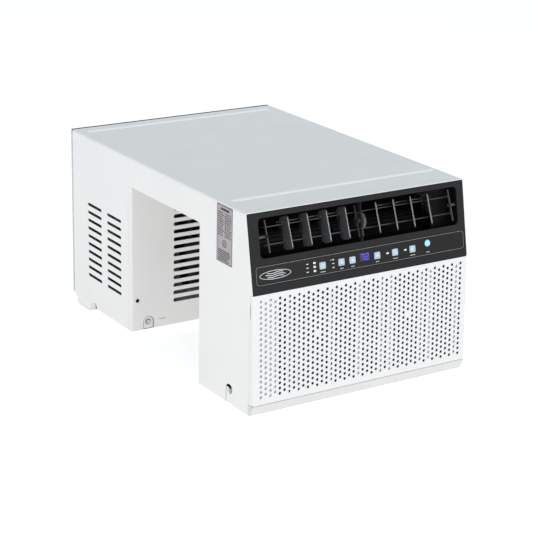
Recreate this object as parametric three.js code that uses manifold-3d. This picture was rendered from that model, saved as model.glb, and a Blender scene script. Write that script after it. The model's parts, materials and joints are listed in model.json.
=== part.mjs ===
// Over-the-sill air conditioner: a saddle-shaped unit with a room-side leg, a thin bridge and an
// outdoor leg. Millimetres, +Z up, the room side faces -Y. The origin is at floor height, midway
// between the sides and midway between the foremost and rearmost points.
import * as THREE from "three";
import { mergeVertices } from "three/addons/utils/BufferGeometryUtils.js";
import Module from "manifold-3d";

// ---- Driving dimensions ----
const HALF_WIDTH = 240;
const HEIGHT = 374; // top sheet, without its pressed beads
const FRONT = -361; // foremost edge, at the foot of the intake grille
const REAR = 361;
const SILL_FRONT = -168; // the sill gap: its two upright faces and its ceiling
const SILL_REAR = 98;
const SILL_CEILING = 315.5;
const SHEET = 1.5; // thickness of the steel sheet
const CLEAR = 0.3; // clearance between pieces that touch
const INSIDE = HALF_WIDTH - SHEET - CLEAR; // half width of what fits between the side panels

// The sloping control face: a plane through the top front edge.
const FACE_TOP = -326;
const FACE_FOOT_Z = 230.7;
const FACE_FOOT_Y = -352.8;
const FACE_SLANT = Math.atan2(FACE_TOP - FACE_FOOT_Y, HEIGHT - FACE_FOOT_Z);
const FACE_LENGTH = Math.hypot(FACE_TOP - FACE_FOOT_Y, HEIGHT - FACE_FOOT_Z);

// Outlet and louvres, measured on the control face: x across, z down from its top edge.
const OUTLET_X = [-217, 222];
const OUTLET_Z = [-84, -12];
const PIVOT_Z = -46.5;
const PIVOT_DEPTH = 8;
const LOUVER_TILT = THREE.MathUtils.degToRad(10.9); // top leans back at rest
const VANES = 4; // on each side, counted from the outlet's middle outwards
const VANE_ROWS = { left: { first: -31.5, pitch: -41.2 }, right: { first: 51, pitch: 39.5 } };
const VANE_AXIS_DEPTH = 10; // behind the tilt axis
const VANE_HALF = 30;
const VANE_FRONT = -8;
const VANE_BACK = 16;
const LINK_ARM = 8.4; // from a vane's axis back to its link pin
const BAR_HEIGHTS = [16.5, -15];
const VANE_SWING = { left: THREE.MathUtils.degToRad(11), right: THREE.MathUtils.degToRad(-34) };
const HUB_X = [1.7, 7.2]; // pivot block between the two louvre frames

// Room-side leg
const DOOR_FOOT = 22.4;
const DOOR_TOP = 229.6;
const DOOR_BACK = -346;
const DOOR_WALL = 3;
const STRIP_TOP = 21;
const HOUSING_FRONT = DOOR_BACK + 0.4;
const PANEL_FRONT = DOOR_BACK + 0.7;
const ROTOR = { y: -240, z: 252, radius: 52, from: -206, to: 178 };

// Outdoor leg
const LEG_FLOOR = 14; // underside of the outdoor leg's pan
const PANEL_REAR = 351.7;
const RETURN = 109; // the sill-side wall folds round the corner as far as this
const CHANNEL = [284, 338]; // pressed foot channel of the outdoor pan
const FAN = { x: 60, z: 188, radius: 124, from: 286, to: 314 };
const COMPRESSOR = { x: -150, y: 205, radius: 58 };

// ---- Finishes ----
const painted = { color: 0xececea, roughness: 0.4, metalness: 0.1 };
const whitePlastic = { color: 0xf6f6f4, roughness: 0.45, metalness: 0 };
const blackPlastic = { color: 0x3a3a3c, roughness: 0.4, metalness: 0 };
const overlayFilm = { color: 0x2c2c2f, roughness: 0.25, metalness: 0 };
const keyBlue = { color: 0xb9cfdb, roughness: 0.45, metalness: 0 };
const displayBlue = { color: 0x2a1fb0, roughness: 0.2, metalness: 0 };
const powerBlue = { color: 0x8fd0f2, roughness: 0.35, metalness: 0 };
const darkPlastic = { color: 0x222224, roughness: 0.6, metalness: 0 };
const filterMesh = { color: 0x8f9aa0, roughness: 0.9, metalness: 0 };
const galvanised = { color: 0xa9adb0, roughness: 0.45, metalness: 0.8 };
const aluminium = { color: 0xc4c8ca, roughness: 0.4, metalness: 0.9 };
const copper = { color: 0xb87350, roughness: 0.35, metalness: 1 };
const pipeFoam = { color: 0x2a2a2b, roughness: 0.95, metalness: 0 };
const blackSteel = { color: 0x1f2022, roughness: 0.5, metalness: 0.4 };
const boardGreen = { color: 0x2d6b3f, roughness: 0.5, metalness: 0 };
const labelPaper = { color: 0xb9b1b4, roughness: 0.6, metalness: 0 };
const screwSteel = { color: 0xb9bcbe, roughness: 0.3, metalness: 0.9 };

const wasm = await Module();
wasm.setup();

// ---- Helpers: closed three.js geometry as solids that can be joined and cut ----
function solid(geometry) {
  const bare = geometry.index ? geometry.toNonIndexed() : geometry.clone();
  bare.deleteAttribute("normal");
  bare.deleteAttribute("uv");
  const merged = mergeVertices(bare, 1e-4);
  return new wasm.Manifold(
    new wasm.Mesh({
      numProp: 3,
      vertProperties: merged.attributes.position.array,
      triVerts: new Uint32Array(merged.index.array),
    }),
  );
}

const join = (...solids) => solids.flat().reduce((a, b) => a.add(b));
const cut = (body, ...tools) => tools.flat().reduce((a, b) => a.subtract(b), body);
const count = (n) => Array.from({ length: n }, (_, i) => i);

function block([x0, x1], [y0, y1], [z0, z1]) {
  const box = new THREE.BoxGeometry(x1 - x0, y1 - y0, z1 - z0);
  return solid(box.translate((x0 + x1) / 2, (y0 + y1) / 2, (z0 + z1) / 2));
}

// A frame for work on an axis: the drawing's two directions, then the way it is extruded.
const DRAWN = {
  x: [new THREE.Vector3(0, 1, 0), new THREE.Vector3(0, 0, 1), new THREE.Vector3(1, 0, 0)],
  y: [new THREE.Vector3(1, 0, 0), new THREE.Vector3(0, 0, 1), new THREE.Vector3(0, -1, 0)],
  z: [new THREE.Vector3(1, 0, 0), new THREE.Vector3(0, 1, 0), new THREE.Vector3(0, 0, 1)],
};

// A drawn shape extruded along an axis from one place to another.
function prism(shape, axis, [from, to], curveSegments = 2) {
  const geometry = new THREE.ExtrudeGeometry(shape, {
    depth: to - from,
    bevelEnabled: false,
    curveSegments,
  });
  const place = new THREE.Matrix4().makeBasis(...DRAWN[axis]);
  place.setPosition(axis === "x" ? from : 0, axis === "y" ? to : 0, axis === "z" ? from : 0);
  return solid(geometry.applyMatrix4(place));
}

const drawing = (points) => new THREE.Shape(points.map(([u, v]) => new THREE.Vector2(u, v)));

function circle(u, v, radius) {
  return new THREE.Shape().absarc(u, v, radius, 0, 2 * Math.PI, false);
}

function roundedRectangle([u0, u1], [v0, v1], r) {
  const shape = new THREE.Shape();
  const quarter = Math.PI / 2;
  shape.absarc(u1 - r, v0 + r, r, -quarter, 0);
  shape.absarc(u1 - r, v1 - r, r, 0, quarter);
  shape.absarc(u0 + r, v1 - r, r, quarter, 2 * quarter);
  shape.absarc(u0 + r, v0 + r, r, 2 * quarter, 3 * quarter);
  return shape;
}

// A round bar; its sides are a multiple of four.
const rod = (axis, [u, v], radius, span, quarterSides = 3) =>
  prism(circle(u, v, radius), axis, span, quarterSides * 2);

// A tube or solid bar that follows a curve through the points.
function pipe(points, radius, steps, sides = 8) {
  const path = new THREE.CatmullRomCurve3(points.map((p) => new THREE.Vector3(...p)));
  const section = new THREE.Shape();
  section.absarc(0, 0, radius, 0, 2 * Math.PI, false);
  return solid(
    new THREE.ExtrudeGeometry(section, { steps, curveSegments: sides / 2, extrudePath: path }),
  );
}

// A turned piece on an upright axis; the profile lists [radius, height] from the foot to the top.
function turned(profile, x, y, segments = 20) {
  const points = profile.map(([r, z]) => new THREE.Vector2(r, z));
  const lathe = new THREE.LatheGeometry(points, segments);
  return solid(lathe.rotateX(Math.PI / 2).translate(x, y, 0));
}

const unit = new THREE.Group();

function piece(name, body, finish, parent = unit) {
  const { vertProperties, triVerts } = body.getMesh();
  const geometry = new THREE.BufferGeometry();
  geometry.setAttribute("position", new THREE.BufferAttribute(vertProperties, 3));
  geometry.setIndex(new THREE.BufferAttribute(triVerts, 1));
  geometry.computeVertexNormals();
  const look = new THREE.MeshStandardMaterial({ ...finish, flatShading: true });
  const mesh = new THREE.Mesh(geometry, look);
  mesh.name = name;
  parent.add(mesh);
  return mesh;
}

// ---- Case: sheet-metal shells ----
const SIDE_ROWS = 10;
const SIDE_ROW_PITCH = 16.9;
const SIDE_TOP_ROW = 233;
const SIDE_COLUMNS = [
  [140.5, 200.5],
  [225, 285.5],
];
const SLOT_HEIGHT = 5.8;
const NOTCH = { front: -279, frontZ: 25, frontR: 13, rear: 259, rearR: 10 };

// The saddle outline of a side panel, with round-topped notches over the pan screws.
function sideOutline() {
  const shape = new THREE.Shape();
  const slope = (z) => FACE_TOP - (HEIGHT - z) * Math.tan(FACE_SLANT) + 1.2;
  const top = HEIGHT - SHEET - CLEAR;
  const nose = DOOR_TOP + CLEAR;
  shape.moveTo(slope(top), top);
  shape.lineTo(slope(nose), nose);
  shape.lineTo(PANEL_FRONT, nose);
  shape.lineTo(PANEL_FRONT, 0);
  shape.lineTo(NOTCH.front - NOTCH.frontR, 0);
  shape.absarc(NOTCH.front, NOTCH.frontZ, NOTCH.frontR, Math.PI, 0, true);
  shape.lineTo(NOTCH.front + NOTCH.frontR, 0);
  shape.lineTo(SILL_FRONT, 0);
  shape.lineTo(SILL_FRONT, SILL_CEILING);
  shape.lineTo(RETURN + CLEAR, SILL_CEILING);
  shape.lineTo(RETURN + CLEAR, LEG_FLOOR);
  shape.absarc(NOTCH.rear, LEG_FLOOR, NOTCH.rearR, Math.PI, 0, true);
  shape.lineTo(CHANNEL[0], 3);
  shape.lineTo(CHANNEL[1] + 2, 3);
  shape.lineTo(CHANNEL[1] + 2, 20);
  shape.lineTo(PANEL_REAR, 20);
  shape.lineTo(PANEL_REAR, top);
  return shape;
}

function sidePanel(side) {
  const span = side < 0 ? [-HALF_WIDTH, SHEET - HALF_WIDTH] : [HALF_WIDTH - SHEET, HALF_WIDTH];
  const through = [span[0] - 1, span[1] + 1];
  const slots = count(SIDE_ROWS).flatMap((row) => {
    const z = SIDE_TOP_ROW - row * SIDE_ROW_PITCH;
    const height = [z - SLOT_HEIGHT / 2, z + SLOT_HEIGHT / 2];
    return SIDE_COLUMNS.map((column) => block(through, column, height));
  });
  return cut(prism(sideOutline(), "x", span, 4), slots);
}

const LABEL_Y = [-282, -228.5];
const LABEL_Z = [262.5, 370];
const LABEL_POCKET = 0.8;

function makeCase() {
  const pocket = block(
    [-HALF_WIDTH - 1, LABEL_POCKET - HALF_WIDTH],
    [LABEL_Y[0] - CLEAR, LABEL_Y[1] + CLEAR],
    [LABEL_Z[0] - CLEAR, LABEL_Z[1] + CLEAR],
  );
  piece("left_side_panel", cut(sidePanel(-1), pocket), painted);
  piece("right_side_panel", sidePanel(1), painted);
  const labelBack = LABEL_POCKET - CLEAR - HALF_WIDTH;
  piece("rating_label", block([-HALF_WIDTH, labelBack], LABEL_Y, LABEL_Z), labelPaper);

  // Top: a sheet with lips that tuck inside the side panels, and two pressed cross beads.
  const coverRear = PANEL_REAR + CLEAR;
  const sheet = block([-HALF_WIDTH, HALF_WIDTH], [FACE_TOP, coverRear], [HEIGHT - SHEET, HEIGHT]);
  const lips = [-1, 1].map((side) => {
    const edges = [side * INSIDE, side * (INSIDE - SHEET)].sort((a, b) => a - b);
    return block(edges, [-270, coverRear - 8], [HEIGHT - 12, HEIGHT - SHEET]);
  });
  const bead = (middle, from, to) => {
    const section = drawing([
      [middle - 7, HEIGHT - 0.5],
      [middle + 7, HEIGHT - 0.5],
      [middle + 3, HEIGHT + 1.2],
      [middle - 3, HEIGHT + 1.2],
    ]);
    return prism(section, "x", [from, to]);
  };
  const beads = [bead(-248.5, -223, 230), bead(319, -223, 218)];
  piece("top_cover", join(sheet, lips, beads), painted);

  // The room-side leg's upright wall and the bridge plate between the two legs' walls.
  const across = [-INSIDE, INSIDE];
  const backWall = block(across, [SILL_FRONT - SHEET, SILL_FRONT], [0, SILL_CEILING]);
  piece("front_leg_back_wall", backWall, painted);
  const bridgeSpan = [SILL_FRONT + CLEAR, SILL_REAR - CLEAR];
  const bridge = block(across, bridgeSpan, [SILL_CEILING, SILL_CEILING + SHEET]);
  piece("bridge_plate", bridge, painted);
}

// ---- Sill-side wall of the outdoor leg: folded round both corners, with slots and screw notches ----
const WALL_ROWS = 15;
const WALL_LOWEST_ROW = 65;
const WALL_ROW_PITCH = 16.05;
const WALL_COLUMNS = [
  [-144, -12],
  [12, 144],
];
const WALL_SCREW = { x: 201, z: 29, r: 12 };

function makeSillWall() {
  const top = SILL_CEILING - CLEAR;
  const inner = HALF_WIDTH - SHEET;
  const corner = 2;
  const right = [
    [HALF_WIDTH - corner, SILL_REAR],
    [HALF_WIDTH, SILL_REAR + corner],
    [HALF_WIDTH, RETURN],
    [inner, RETURN],
    [inner, SILL_REAR + SHEET],
  ];
  const left = right.map(([x, y]) => [-x, y]).reverse();
  const channel = prism(drawing([...right, ...left]), "z", [LEG_FLOOR, top]);
  const through = [SILL_REAR - 1, SILL_REAR + SHEET + 1];
  const slots = count(WALL_ROWS).flatMap((row) => {
    const z = WALL_LOWEST_ROW + row * WALL_ROW_PITCH;
    return WALL_COLUMNS.map((columns) => block(columns, through, [z - 3.5, z + 3.5]));
  });
  const notches = [-1, 1].map((side) => {
    const x = side * WALL_SCREW.x;
    const arch = new THREE.Shape();
    arch.moveTo(x + WALL_SCREW.r, 0);
    arch.absarc(x, WALL_SCREW.z + 1, WALL_SCREW.r, 0, Math.PI, false);
    arch.lineTo(x - WALL_SCREW.r, 0);
    return prism(arch, "y", through, 4);
  });
  piece("rear_leg_front_wall", cut(channel, slots, notches), painted);
}

// ---- Pans ----
function makePans() {
  const upstand = 30;
  const frontSpan = [HOUSING_FRONT + 3.3, SILL_FRONT - SHEET - CLEAR];
  const tray = block([-INSIDE, INSIDE], frontSpan, [0, upstand]);
  const hollow = block(
    [SHEET - INSIDE, INSIDE - SHEET],
    [frontSpan[0] + SHEET, frontSpan[1] - SHEET],
    [SHEET, upstand + 1],
  );
  const hole = (y, z) => rod("x", [y, z], 2.4, [-HALF_WIDTH, HALF_WIDTH], 2);
  piece("front_base_pan", cut(tray, hollow, hole(NOTCH.front, NOTCH.frontZ)), painted);

  const [c0, c1] = CHANNEL;
  const y0 = SILL_REAR + SHEET + CLEAR;
  const y1 = PANEL_REAR - CLEAR;
  const floor = drawing([
    [y0, LEG_FLOOR],
    [c0 - 2, LEG_FLOOR],
    [c0, 0],
    [c1, 0],
    [c1 + 2, LEG_FLOOR],
    [y1, LEG_FLOOR],
    [y1, LEG_FLOOR + SHEET],
    [c1 + 1, LEG_FLOOR + SHEET],
    [c1 - 1, SHEET],
    [c0 + 1, SHEET],
    [c0 - 1, LEG_FLOOR + SHEET],
    [y0, LEG_FLOOR + SHEET],
  ]);
  const lip = LEG_FLOOR + upstand;
  const front = block([-INSIDE, INSIDE], [y0, y0 + SHEET], [LEG_FLOOR, lip]);
  const sides = [-1, 1].map((side) => {
    const edges = [side * INSIDE, side * (INSIDE - SHEET)].sort((a, b) => a - b);
    return block(edges, [y0, y1], [LEG_FLOOR, lip]);
  });
  const wallHoles = [-1, 1].map((side) =>
    rod("y", [side * WALL_SCREW.x, WALL_SCREW.z], 2.4, [y0 - 1, y0 + SHEET + 1], 2),
  );
  const pan = join(prism(floor, "x", [-INSIDE, INSIDE]), front, sides);
  piece("rear_base_pan", cut(pan, wallHoles, hole(NOTCH.rear, LEG_FLOOR + 4)), painted);
}

// ---- Rear grille: a shallow tray with rows of air slots ----
function makeRearGrille() {
  const half = HALF_WIDTH - 1;
  const rim = 2;
  const [z0, z1] = [18, HEIGHT - 1];
  const front = PANEL_REAR + 2 * CLEAR;
  const tray = cut(
    block([-half, half], [front, REAR], [z0, z1]),
    block([rim - half, half - rim], [front - 1, REAR - 2.5], [z0 + rim, z1 - rim]),
  );
  const slots = count(10).flatMap((row) => {
    const z = 44 + row * 31;
    return [-142, 0, 142].map((x) => block([x - 64, x + 64], [REAR - 4, REAR + 1], [z, z + 18]));
  });
  piece("rear_grille", cut(tray, slots), galvanised);
}

// ---- Intake grille: a door hinged along its foot, with the air filter in it ----
const DOOR_LEAN = Math.atan2(FACE_FOOT_Y - FRONT, DOOR_TOP - DOOR_FOOT);

function makeIntake() {
  const faceTop = FACE_FOOT_Y - 0.4;
  const outer = drawing([
    [faceTop, DOOR_TOP],
    [FRONT, DOOR_FOOT + 1.5],
    [FRONT + 1.5, DOOR_FOOT],
    [DOOR_BACK, DOOR_FOOT],
    [DOOR_BACK, DOOR_TOP - 2],
    [faceTop + 3.4, DOOR_TOP - 0.4],
  ]);
  const inner = drawing([
    [faceTop + DOOR_WALL, DOOR_TOP - DOOR_WALL],
    [FRONT + DOOR_WALL, DOOR_FOOT + DOOR_WALL],
    [DOOR_BACK + 1, DOOR_FOOT + DOOR_WALL],
    [DOOR_BACK + 1, DOOR_TOP - DOOR_WALL],
  ]);
  const shell = cut(
    prism(outer, "x", [-HALF_WIDTH, HALF_WIDTH]),
    prism(inner, "x", [DOOR_WALL - HALF_WIDTH, HALF_WIDTH - DOOR_WALL]),
  );
  const across = 13;
  const up = 6;
  const holes = count(across * up).map((i) => {
    const x = ((i % across) - (across - 1) / 2) * 34;
    const z = 42 + Math.floor(i / across) * 33;
    return block([x - 5, x + 5], [FRONT - 1, DOOR_BACK - 1], [z - 5, z + 5]);
  });
  const fingerNotches = [-1, 1].map((side) => {
    const edges = [side * (HALF_WIDTH + 1), side * (HALF_WIDTH - 4)].sort((a, b) => a - b);
    return block(edges, [DOOR_BACK - 6, DOOR_BACK + 1], [185, 215]);
  });
  piece("intake_grille", cut(shell, holes, fingerNotches), whitePlastic);

  // The filter leans with the door's face: a frame with crossed ribs and a thin net.
  const lean = new THREE.Group();
  lean.position.set(0, FRONT, DOOR_FOOT);
  lean.rotation.x = -DOOR_LEAN;
  unit.add(lean);
  const half = 228;
  const [z0, z1] = [6, 200];
  const depth = [3.6, 7];
  const windows = [-1, 0, 1].flatMap((column) =>
    [0, 1].map((row) => {
      const x = column * 150;
      const z = z0 + 6 + row * 95;
      return block([x - 70, x + 70], [depth[0] - 1, depth[1] + 1], [z, z + 88]);
    }),
  );
  const frame = cut(block([-half, half], depth, [z0, z1]), windows);
  const net = block([4 - half, half - 4], [4.8, 5.6], [z0 + 3, z1 - 3]);
  piece("air_filter", join(frame, net), filterMesh, lean);

  // Housing: the ring that the door closes on, with the sloping foot strip in front of it.
  const [back, ringTop] = [HOUSING_FRONT + 3, 226.5];
  const ring = cut(
    block([-INSIDE, INSIDE], [HOUSING_FRONT, back], [0, ringTop]),
    block([-220, 220], [HOUSING_FRONT - 1, back + 1], [32, 216]),
  );
  const strip = drawing([
    [FRONT, STRIP_TOP],
    [FRONT + 12, 0],
    [HOUSING_FRONT, 0],
    [HOUSING_FRONT, STRIP_TOP],
  ]);
  const foot = prism(strip, "x", [-HALF_WIDTH, HALF_WIDTH]);
  const cheeks = [-1, 1].map((side) => {
    const edges = [side * INSIDE, side * (INSIDE - 2)].sort((a, b) => a - b);
    return block(edges, [back - 1, back + 30], [40, 216]);
  });
  piece("front_housing", join(ring, foot, cheeks), whitePlastic);
}

// ---- Control face: everything on it is laid out in its own sloping frame ----
const face = new THREE.Group();
face.position.set(0, FACE_TOP, HEIGHT);
face.rotation.x = -FACE_SLANT;
unit.add(face);

const PLATE = 3;
const OVERLAY_X = [-230, 233];
const OVERLAY_Z = [-131.6, -96.6];
const OVERLAY_R = 6;
const KEY_Z = -114.7;
const KEY_SIZE = [14, 13.5];
const KEYS = { mode: -89, fan: -48, up: -23.7, down: 31.6, timer: 72, sleep: 112 };
const POWER = { x: 147, z: -109, radius: 6.2 };
const DISPLAY_X = [-7.5, 15];
const DISPLAY_Z = [-121, -105];

function keyHole(x, grow) {
  const [w, h] = KEY_SIZE.map((size) => size / 2 + grow);
  return block([x - w, x + w], [-2, PLATE + 2], [KEY_Z - h, KEY_Z + h]);
}

function makeControlFace() {
  const half = INSIDE - 0.2;
  const [z0, z1] = [0.4 - FACE_LENGTH, -1.9];
  const rimWall = 2.5;
  const rimDepth = 14;
  const slab = prism(roundedRectangle([-half, half], [z0, z1], 5), "y", [0, rimDepth]);
  const hollow = block(
    [rimWall - half, half - rimWall],
    [PLATE, rimDepth + 1],
    [z0 + rimWall, z1 - rimWall],
  );
  const outlet = prism(roundedRectangle(OUTLET_X, OUTLET_Z, 8.5), "y", [-1, PLATE + 1]);
  const recess = prism(
    roundedRectangle(
      [OVERLAY_X[0] - CLEAR, OVERLAY_X[1] + CLEAR],
      [OVERLAY_Z[0] - CLEAR, OVERLAY_Z[1] + CLEAR],
      OVERLAY_R,
    ),
    "y",
    [-1, 1.6],
  );
  const keyHoles = Object.values(KEYS).map((x) => keyHole(x, 0));
  const powerHole = rod("y", [POWER.x, POWER.z], POWER.radius + 0.3, [-2, PLATE + 2]);
  const windowHole = block(DISPLAY_X, [-2, PLATE + 2], DISPLAY_Z);
  const rib = block([1.9, 3.9], [1.5, 12], [OUTLET_Z[0] - 1, OUTLET_Z[1] + 1]);
  const hub = rod("x", [PIVOT_DEPTH, PIVOT_Z], 16, HUB_X, 5);
  const plate = cut(slab, hollow, outlet, recess, keyHoles, powerHole, windowHole);
  piece("front_bezel", join(plate, rib, hub), blackPlastic, face);

  const film = prism(roundedRectangle(OVERLAY_X, OVERLAY_Z, OVERLAY_R), "y", [0.2, 1.3]);
  const filmWindow = block(DISPLAY_X, [-1, 2], DISPLAY_Z);
  piece("control_overlay", cut(film, keyHoles, powerHole, filmWindow), overlayFilm, face);
  const lens = block(
    [DISPLAY_X[0] + CLEAR, DISPLAY_X[1] - CLEAR],
    [0.4, 5],
    [DISPLAY_Z[0] + CLEAR, DISPLAY_Z[1] - CLEAR],
  );
  piece("display_window", lens, displayBlue, face);

  const [w, h] = KEY_SIZE.map((size) => size / 2 - CLEAR);
  for (const [name, x] of Object.entries(KEYS)) {
    const key = block([-w, w], [-0.6, 5], [-h, h]);
    piece(`${name}_key`, key, keyBlue, face).position.set(x, 0, KEY_Z);
  }
  const power = piece("power_button", rod("y", [0, 0], POWER.radius, [-0.8, 5]), powerBlue, face);
  power.position.set(POWER.x, 0, POWER.z);

  // Board and its box stand behind the keys.
  piece("control_board", block([-130, 165], [7, 8.6], [-137, -98]), boardGreen, face);
  const box = cut(
    block([-138, 173], [9, 30], [-140, -96]),
    block([-136.5, 171.5], [8, 28.5], [-138.5, -97.5]),
  );
  piece("control_box", box, galvanised, face);
}

// ---- Outlet duct: a short rectangular throat behind the control face ----
function makeDuct() {
  const [x0, x1] = [OUTLET_X[0] - 2, OUTLET_X[1] + 2];
  const [z0, z1] = [OUTLET_Z[0] - 7, OUTLET_Z[1] + 5];
  const wall = 1.8;
  const depth = [PLATE + CLEAR, 38];
  const throat = cut(
    block([x0 - wall, x1 + wall], depth, [z0 - wall, z1 + wall]),
    block([x0, x1], [depth[0] - 1, depth[1] + 1], [z0, z1]),
  );
  // Beyond the wheel's two ends the back of the throat is closed.
  const ends = [
    [x0 - 1, ROTOR.from - 6],
    [ROTOR.to + 6, x1 + 1],
  ].map((across) => block(across, [depth[1] - 2, depth[1]], [z0 - 1, z1 + 1]));
  const bearings = [
    [x0 - 1, x0 + 2.2],
    [x1 - 2.2, x1 + 1],
  ].map((span) => rod("x", [PIVOT_DEPTH + 3, PIVOT_Z], 7, span));
  const clearOfFace = block([x0 - 2, x1 + 2], [0, PLATE + CLEAR], [z0, z1]);
  piece("outlet_duct", cut(join(throat, ends, bearings), clearOfFace), darkPlastic, face);
}

// ---- Louvres: two tilting frames, each with four linked vanes ----
const VANE_THICKNESS = 1.8;
const LOUVER_FRAMES = {
  left: { outer: -200, inner: 0.2, side: -1 },
  right: { outer: 206.5, inner: 8.8, side: 1 },
};

// A vane or end plate seen along X: its outline from front to back, with clipped corners.
function bladeOutline() {
  const clip = 3;
  return drawing([
    [VANE_FRONT, clip - VANE_HALF],
    [VANE_FRONT + clip, -VANE_HALF],
    [VANE_BACK - 2 * clip, -VANE_HALF],
    [VANE_BACK, 2 * clip - VANE_HALF],
    [VANE_BACK, VANE_HALF - 2 * clip],
    [VANE_BACK - 2 * clip, VANE_HALF],
    [VANE_FRONT + clip, VANE_HALF],
    [VANE_FRONT, VANE_HALF - clip],
  ]);
}

function makeLouvers() {
  for (const [name, { outer, inner, side }] of Object.entries(LOUVER_FRAMES)) {
    const tilt = new THREE.Group();
    tilt.position.set(0, PIVOT_DEPTH, PIVOT_Z);
    tilt.rotation.x = -LOUVER_TILT;
    face.add(tilt);

    const sorted = (...ends) => ends.sort((a, b) => a - b);
    const plates = [outer, inner].map((x) => prism(bladeOutline(), "x", [x - 0.8, x + 0.8]));
    const bars = BAR_HEIGHTS.map((z) =>
      block(
        sorted(outer, inner),
        [VANE_AXIS_DEPTH - 1.5, VANE_AXIS_DEPTH + 1.5],
        [z - 1, z + 1],
      ),
    );
    const outletEnd = side < 0 ? OUTLET_X[0] : OUTLET_X[1];
    const pins = [
      sorted(outer, outletEnd - side * 0.8),
      sorted(inner, (side < 0 ? HUB_X[0] : HUB_X[1]) + side * CLEAR),
    ].map((span) => rod("x", [0, 0], 3, span, 2));
    piece(`louver_frame_${name}`, join(plates, bars, pins), blackPlastic, tilt);

    const swing = VANE_SWING[name];
    const row = VANE_ROWS[name];
    const places = count(VANES).map((i) => row.first + i * row.pitch);
    places.sort((a, b) => a - b);
    places.forEach((x, i) => {
      const half = VANE_THICKNESS / 2;
      const blade = prism(bladeOutline(), "x", [-half, half]);
      const plate = blade.translate([0, -VANE_AXIS_DEPTH, 0]);
      const notches = BAR_HEIGHTS.map((z) => block([-2, 2], [-3.4, 9], [z - 1.6, z + 1.6]));
      const bosses = BAR_HEIGHTS.map((z) => rod("z", [0, 0], 2.2, [z + 1.6, z + 4.6], 2));
      const vane = piece(
        `vane_${name}_${i + 1}`,
        join(cut(plate, notches), bosses),
        blackPlastic,
        tilt,
      );
      vane.position.set(x, VANE_AXIS_DEPTH, 0);
      vane.rotation.z = swing;
    });

    // The link bar runs behind the vanes and keeps them parallel.
    const shift = -LINK_ARM * Math.sin(swing);
    const back = VANE_AXIS_DEPTH + LINK_ARM * Math.cos(swing);
    const bar = block(
      [places[0] + shift - 5, places[VANES - 1] + shift + 5],
      [back - 0.8, back + 0.8],
      [20.5, 23],
    );
    piece(`link_bar_${name}`, bar, blackPlastic, tilt);
  }
}

// ---- Blower: a drum wheel across the leg, its scroll and motor ----
function makeBlower() {
  const { y, z, radius, from, to } = ROTOR;
  const discs = [from, to - 3].map((x) => rod("x", [y, z], radius, [x, x + 3], 5));
  const blades = count(18).map((i) => {
    const turn = (i / 18) * 2 * Math.PI;
    const blade = new THREE.BoxGeometry(to - from - 2, 9, 1.4);
    blade.translate(0, radius - 5.5, 0);
    blade.rotateX(turn);
    return solid(blade.translate((from + to) / 2, y, z));
  });
  const shaft = rod("x", [y, z], 4, [from - 6, to + 12], 2);
  piece("blower_wheel", join(discs, blades, shaft), darkPlastic);

  // The scroll's rear wall winds round the wheel and runs forward to the top of the throat.
  const turns = count(15).map((i) => -1.5 + i * 0.22);
  const spiral = (grow) =>
    turns.map((a) => {
      const r = radius + 8 + (a + 1.5) * 1.6 + grow;
      return [y + r * Math.cos(a), z + r * Math.sin(a)];
    });
  const throatTop = [-284, 352];
  const outline = drawing([
    ...spiral(2),
    [throatTop[0], throatTop[1] + 2],
    throatTop,
    ...spiral(0).reverse(),
  ]);
  const wall = prism(outline, "x", [from - 4, to + 4]);
  const endShape = new THREE.Shape();
  endShape.absarc(y, z, radius + 9, -1.5, 1.5, false);
  endShape.lineTo(y - 30, z + 85);
  endShape.lineTo(y - 48, z + 50);
  endShape.lineTo(y - 40, z - 50);
  endShape.holes.push(circle(y, z, 5));
  const ends = [
    [from - 4, from - 2],
    [to + 2, to + 4],
  ].map((span) => prism(endShape, "x", span, 8));
  piece("blower_scroll", join(wall, ends), darkPlastic);

  const can = rod("x", [y, z], 36, [to + 13, to + 42], 5);
  const collar = rod("x", [y, z], 9, [to + 5, to + 14], 2);
  const bore = rod("x", [y, z], 5, [to, to + 13], 2);
  piece("blower_motor", cut(join(can, collar), bore), blackSteel);
}

// ---- Coils: finned blocks with return bends at both ends ----
// Tube rows counted from the foot: the left bends join rows 0-1, 2-3 and so on, the right ones 1-2, 3-4.
function coil(xSpan, ySpan, [z0, z1], rows) {
  const pitch = (z1 - z0) / rows;
  const y = (ySpan[0] + ySpan[1]) / 2;
  const loops = xSpan.flatMap((x, end) => {
    const out = end ? 1 : -1;
    return count(Math.floor((rows - end) / 2)).map((i) => {
      const low = z0 + pitch * (2 * i + end + 0.5);
      const bend = [
        [x - out, y, low],
        [x + out * 5, y, low],
        [x + out * 10, y, low + pitch / 2],
        [x + out * 5, y, low + pitch],
        [x - out, y, low + pitch],
      ];
      return pipe(bend, 3.5, 5, 6);
    });
  });
  return join(block(xSpan, ySpan, [z0, z1]), loops);
}

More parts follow.
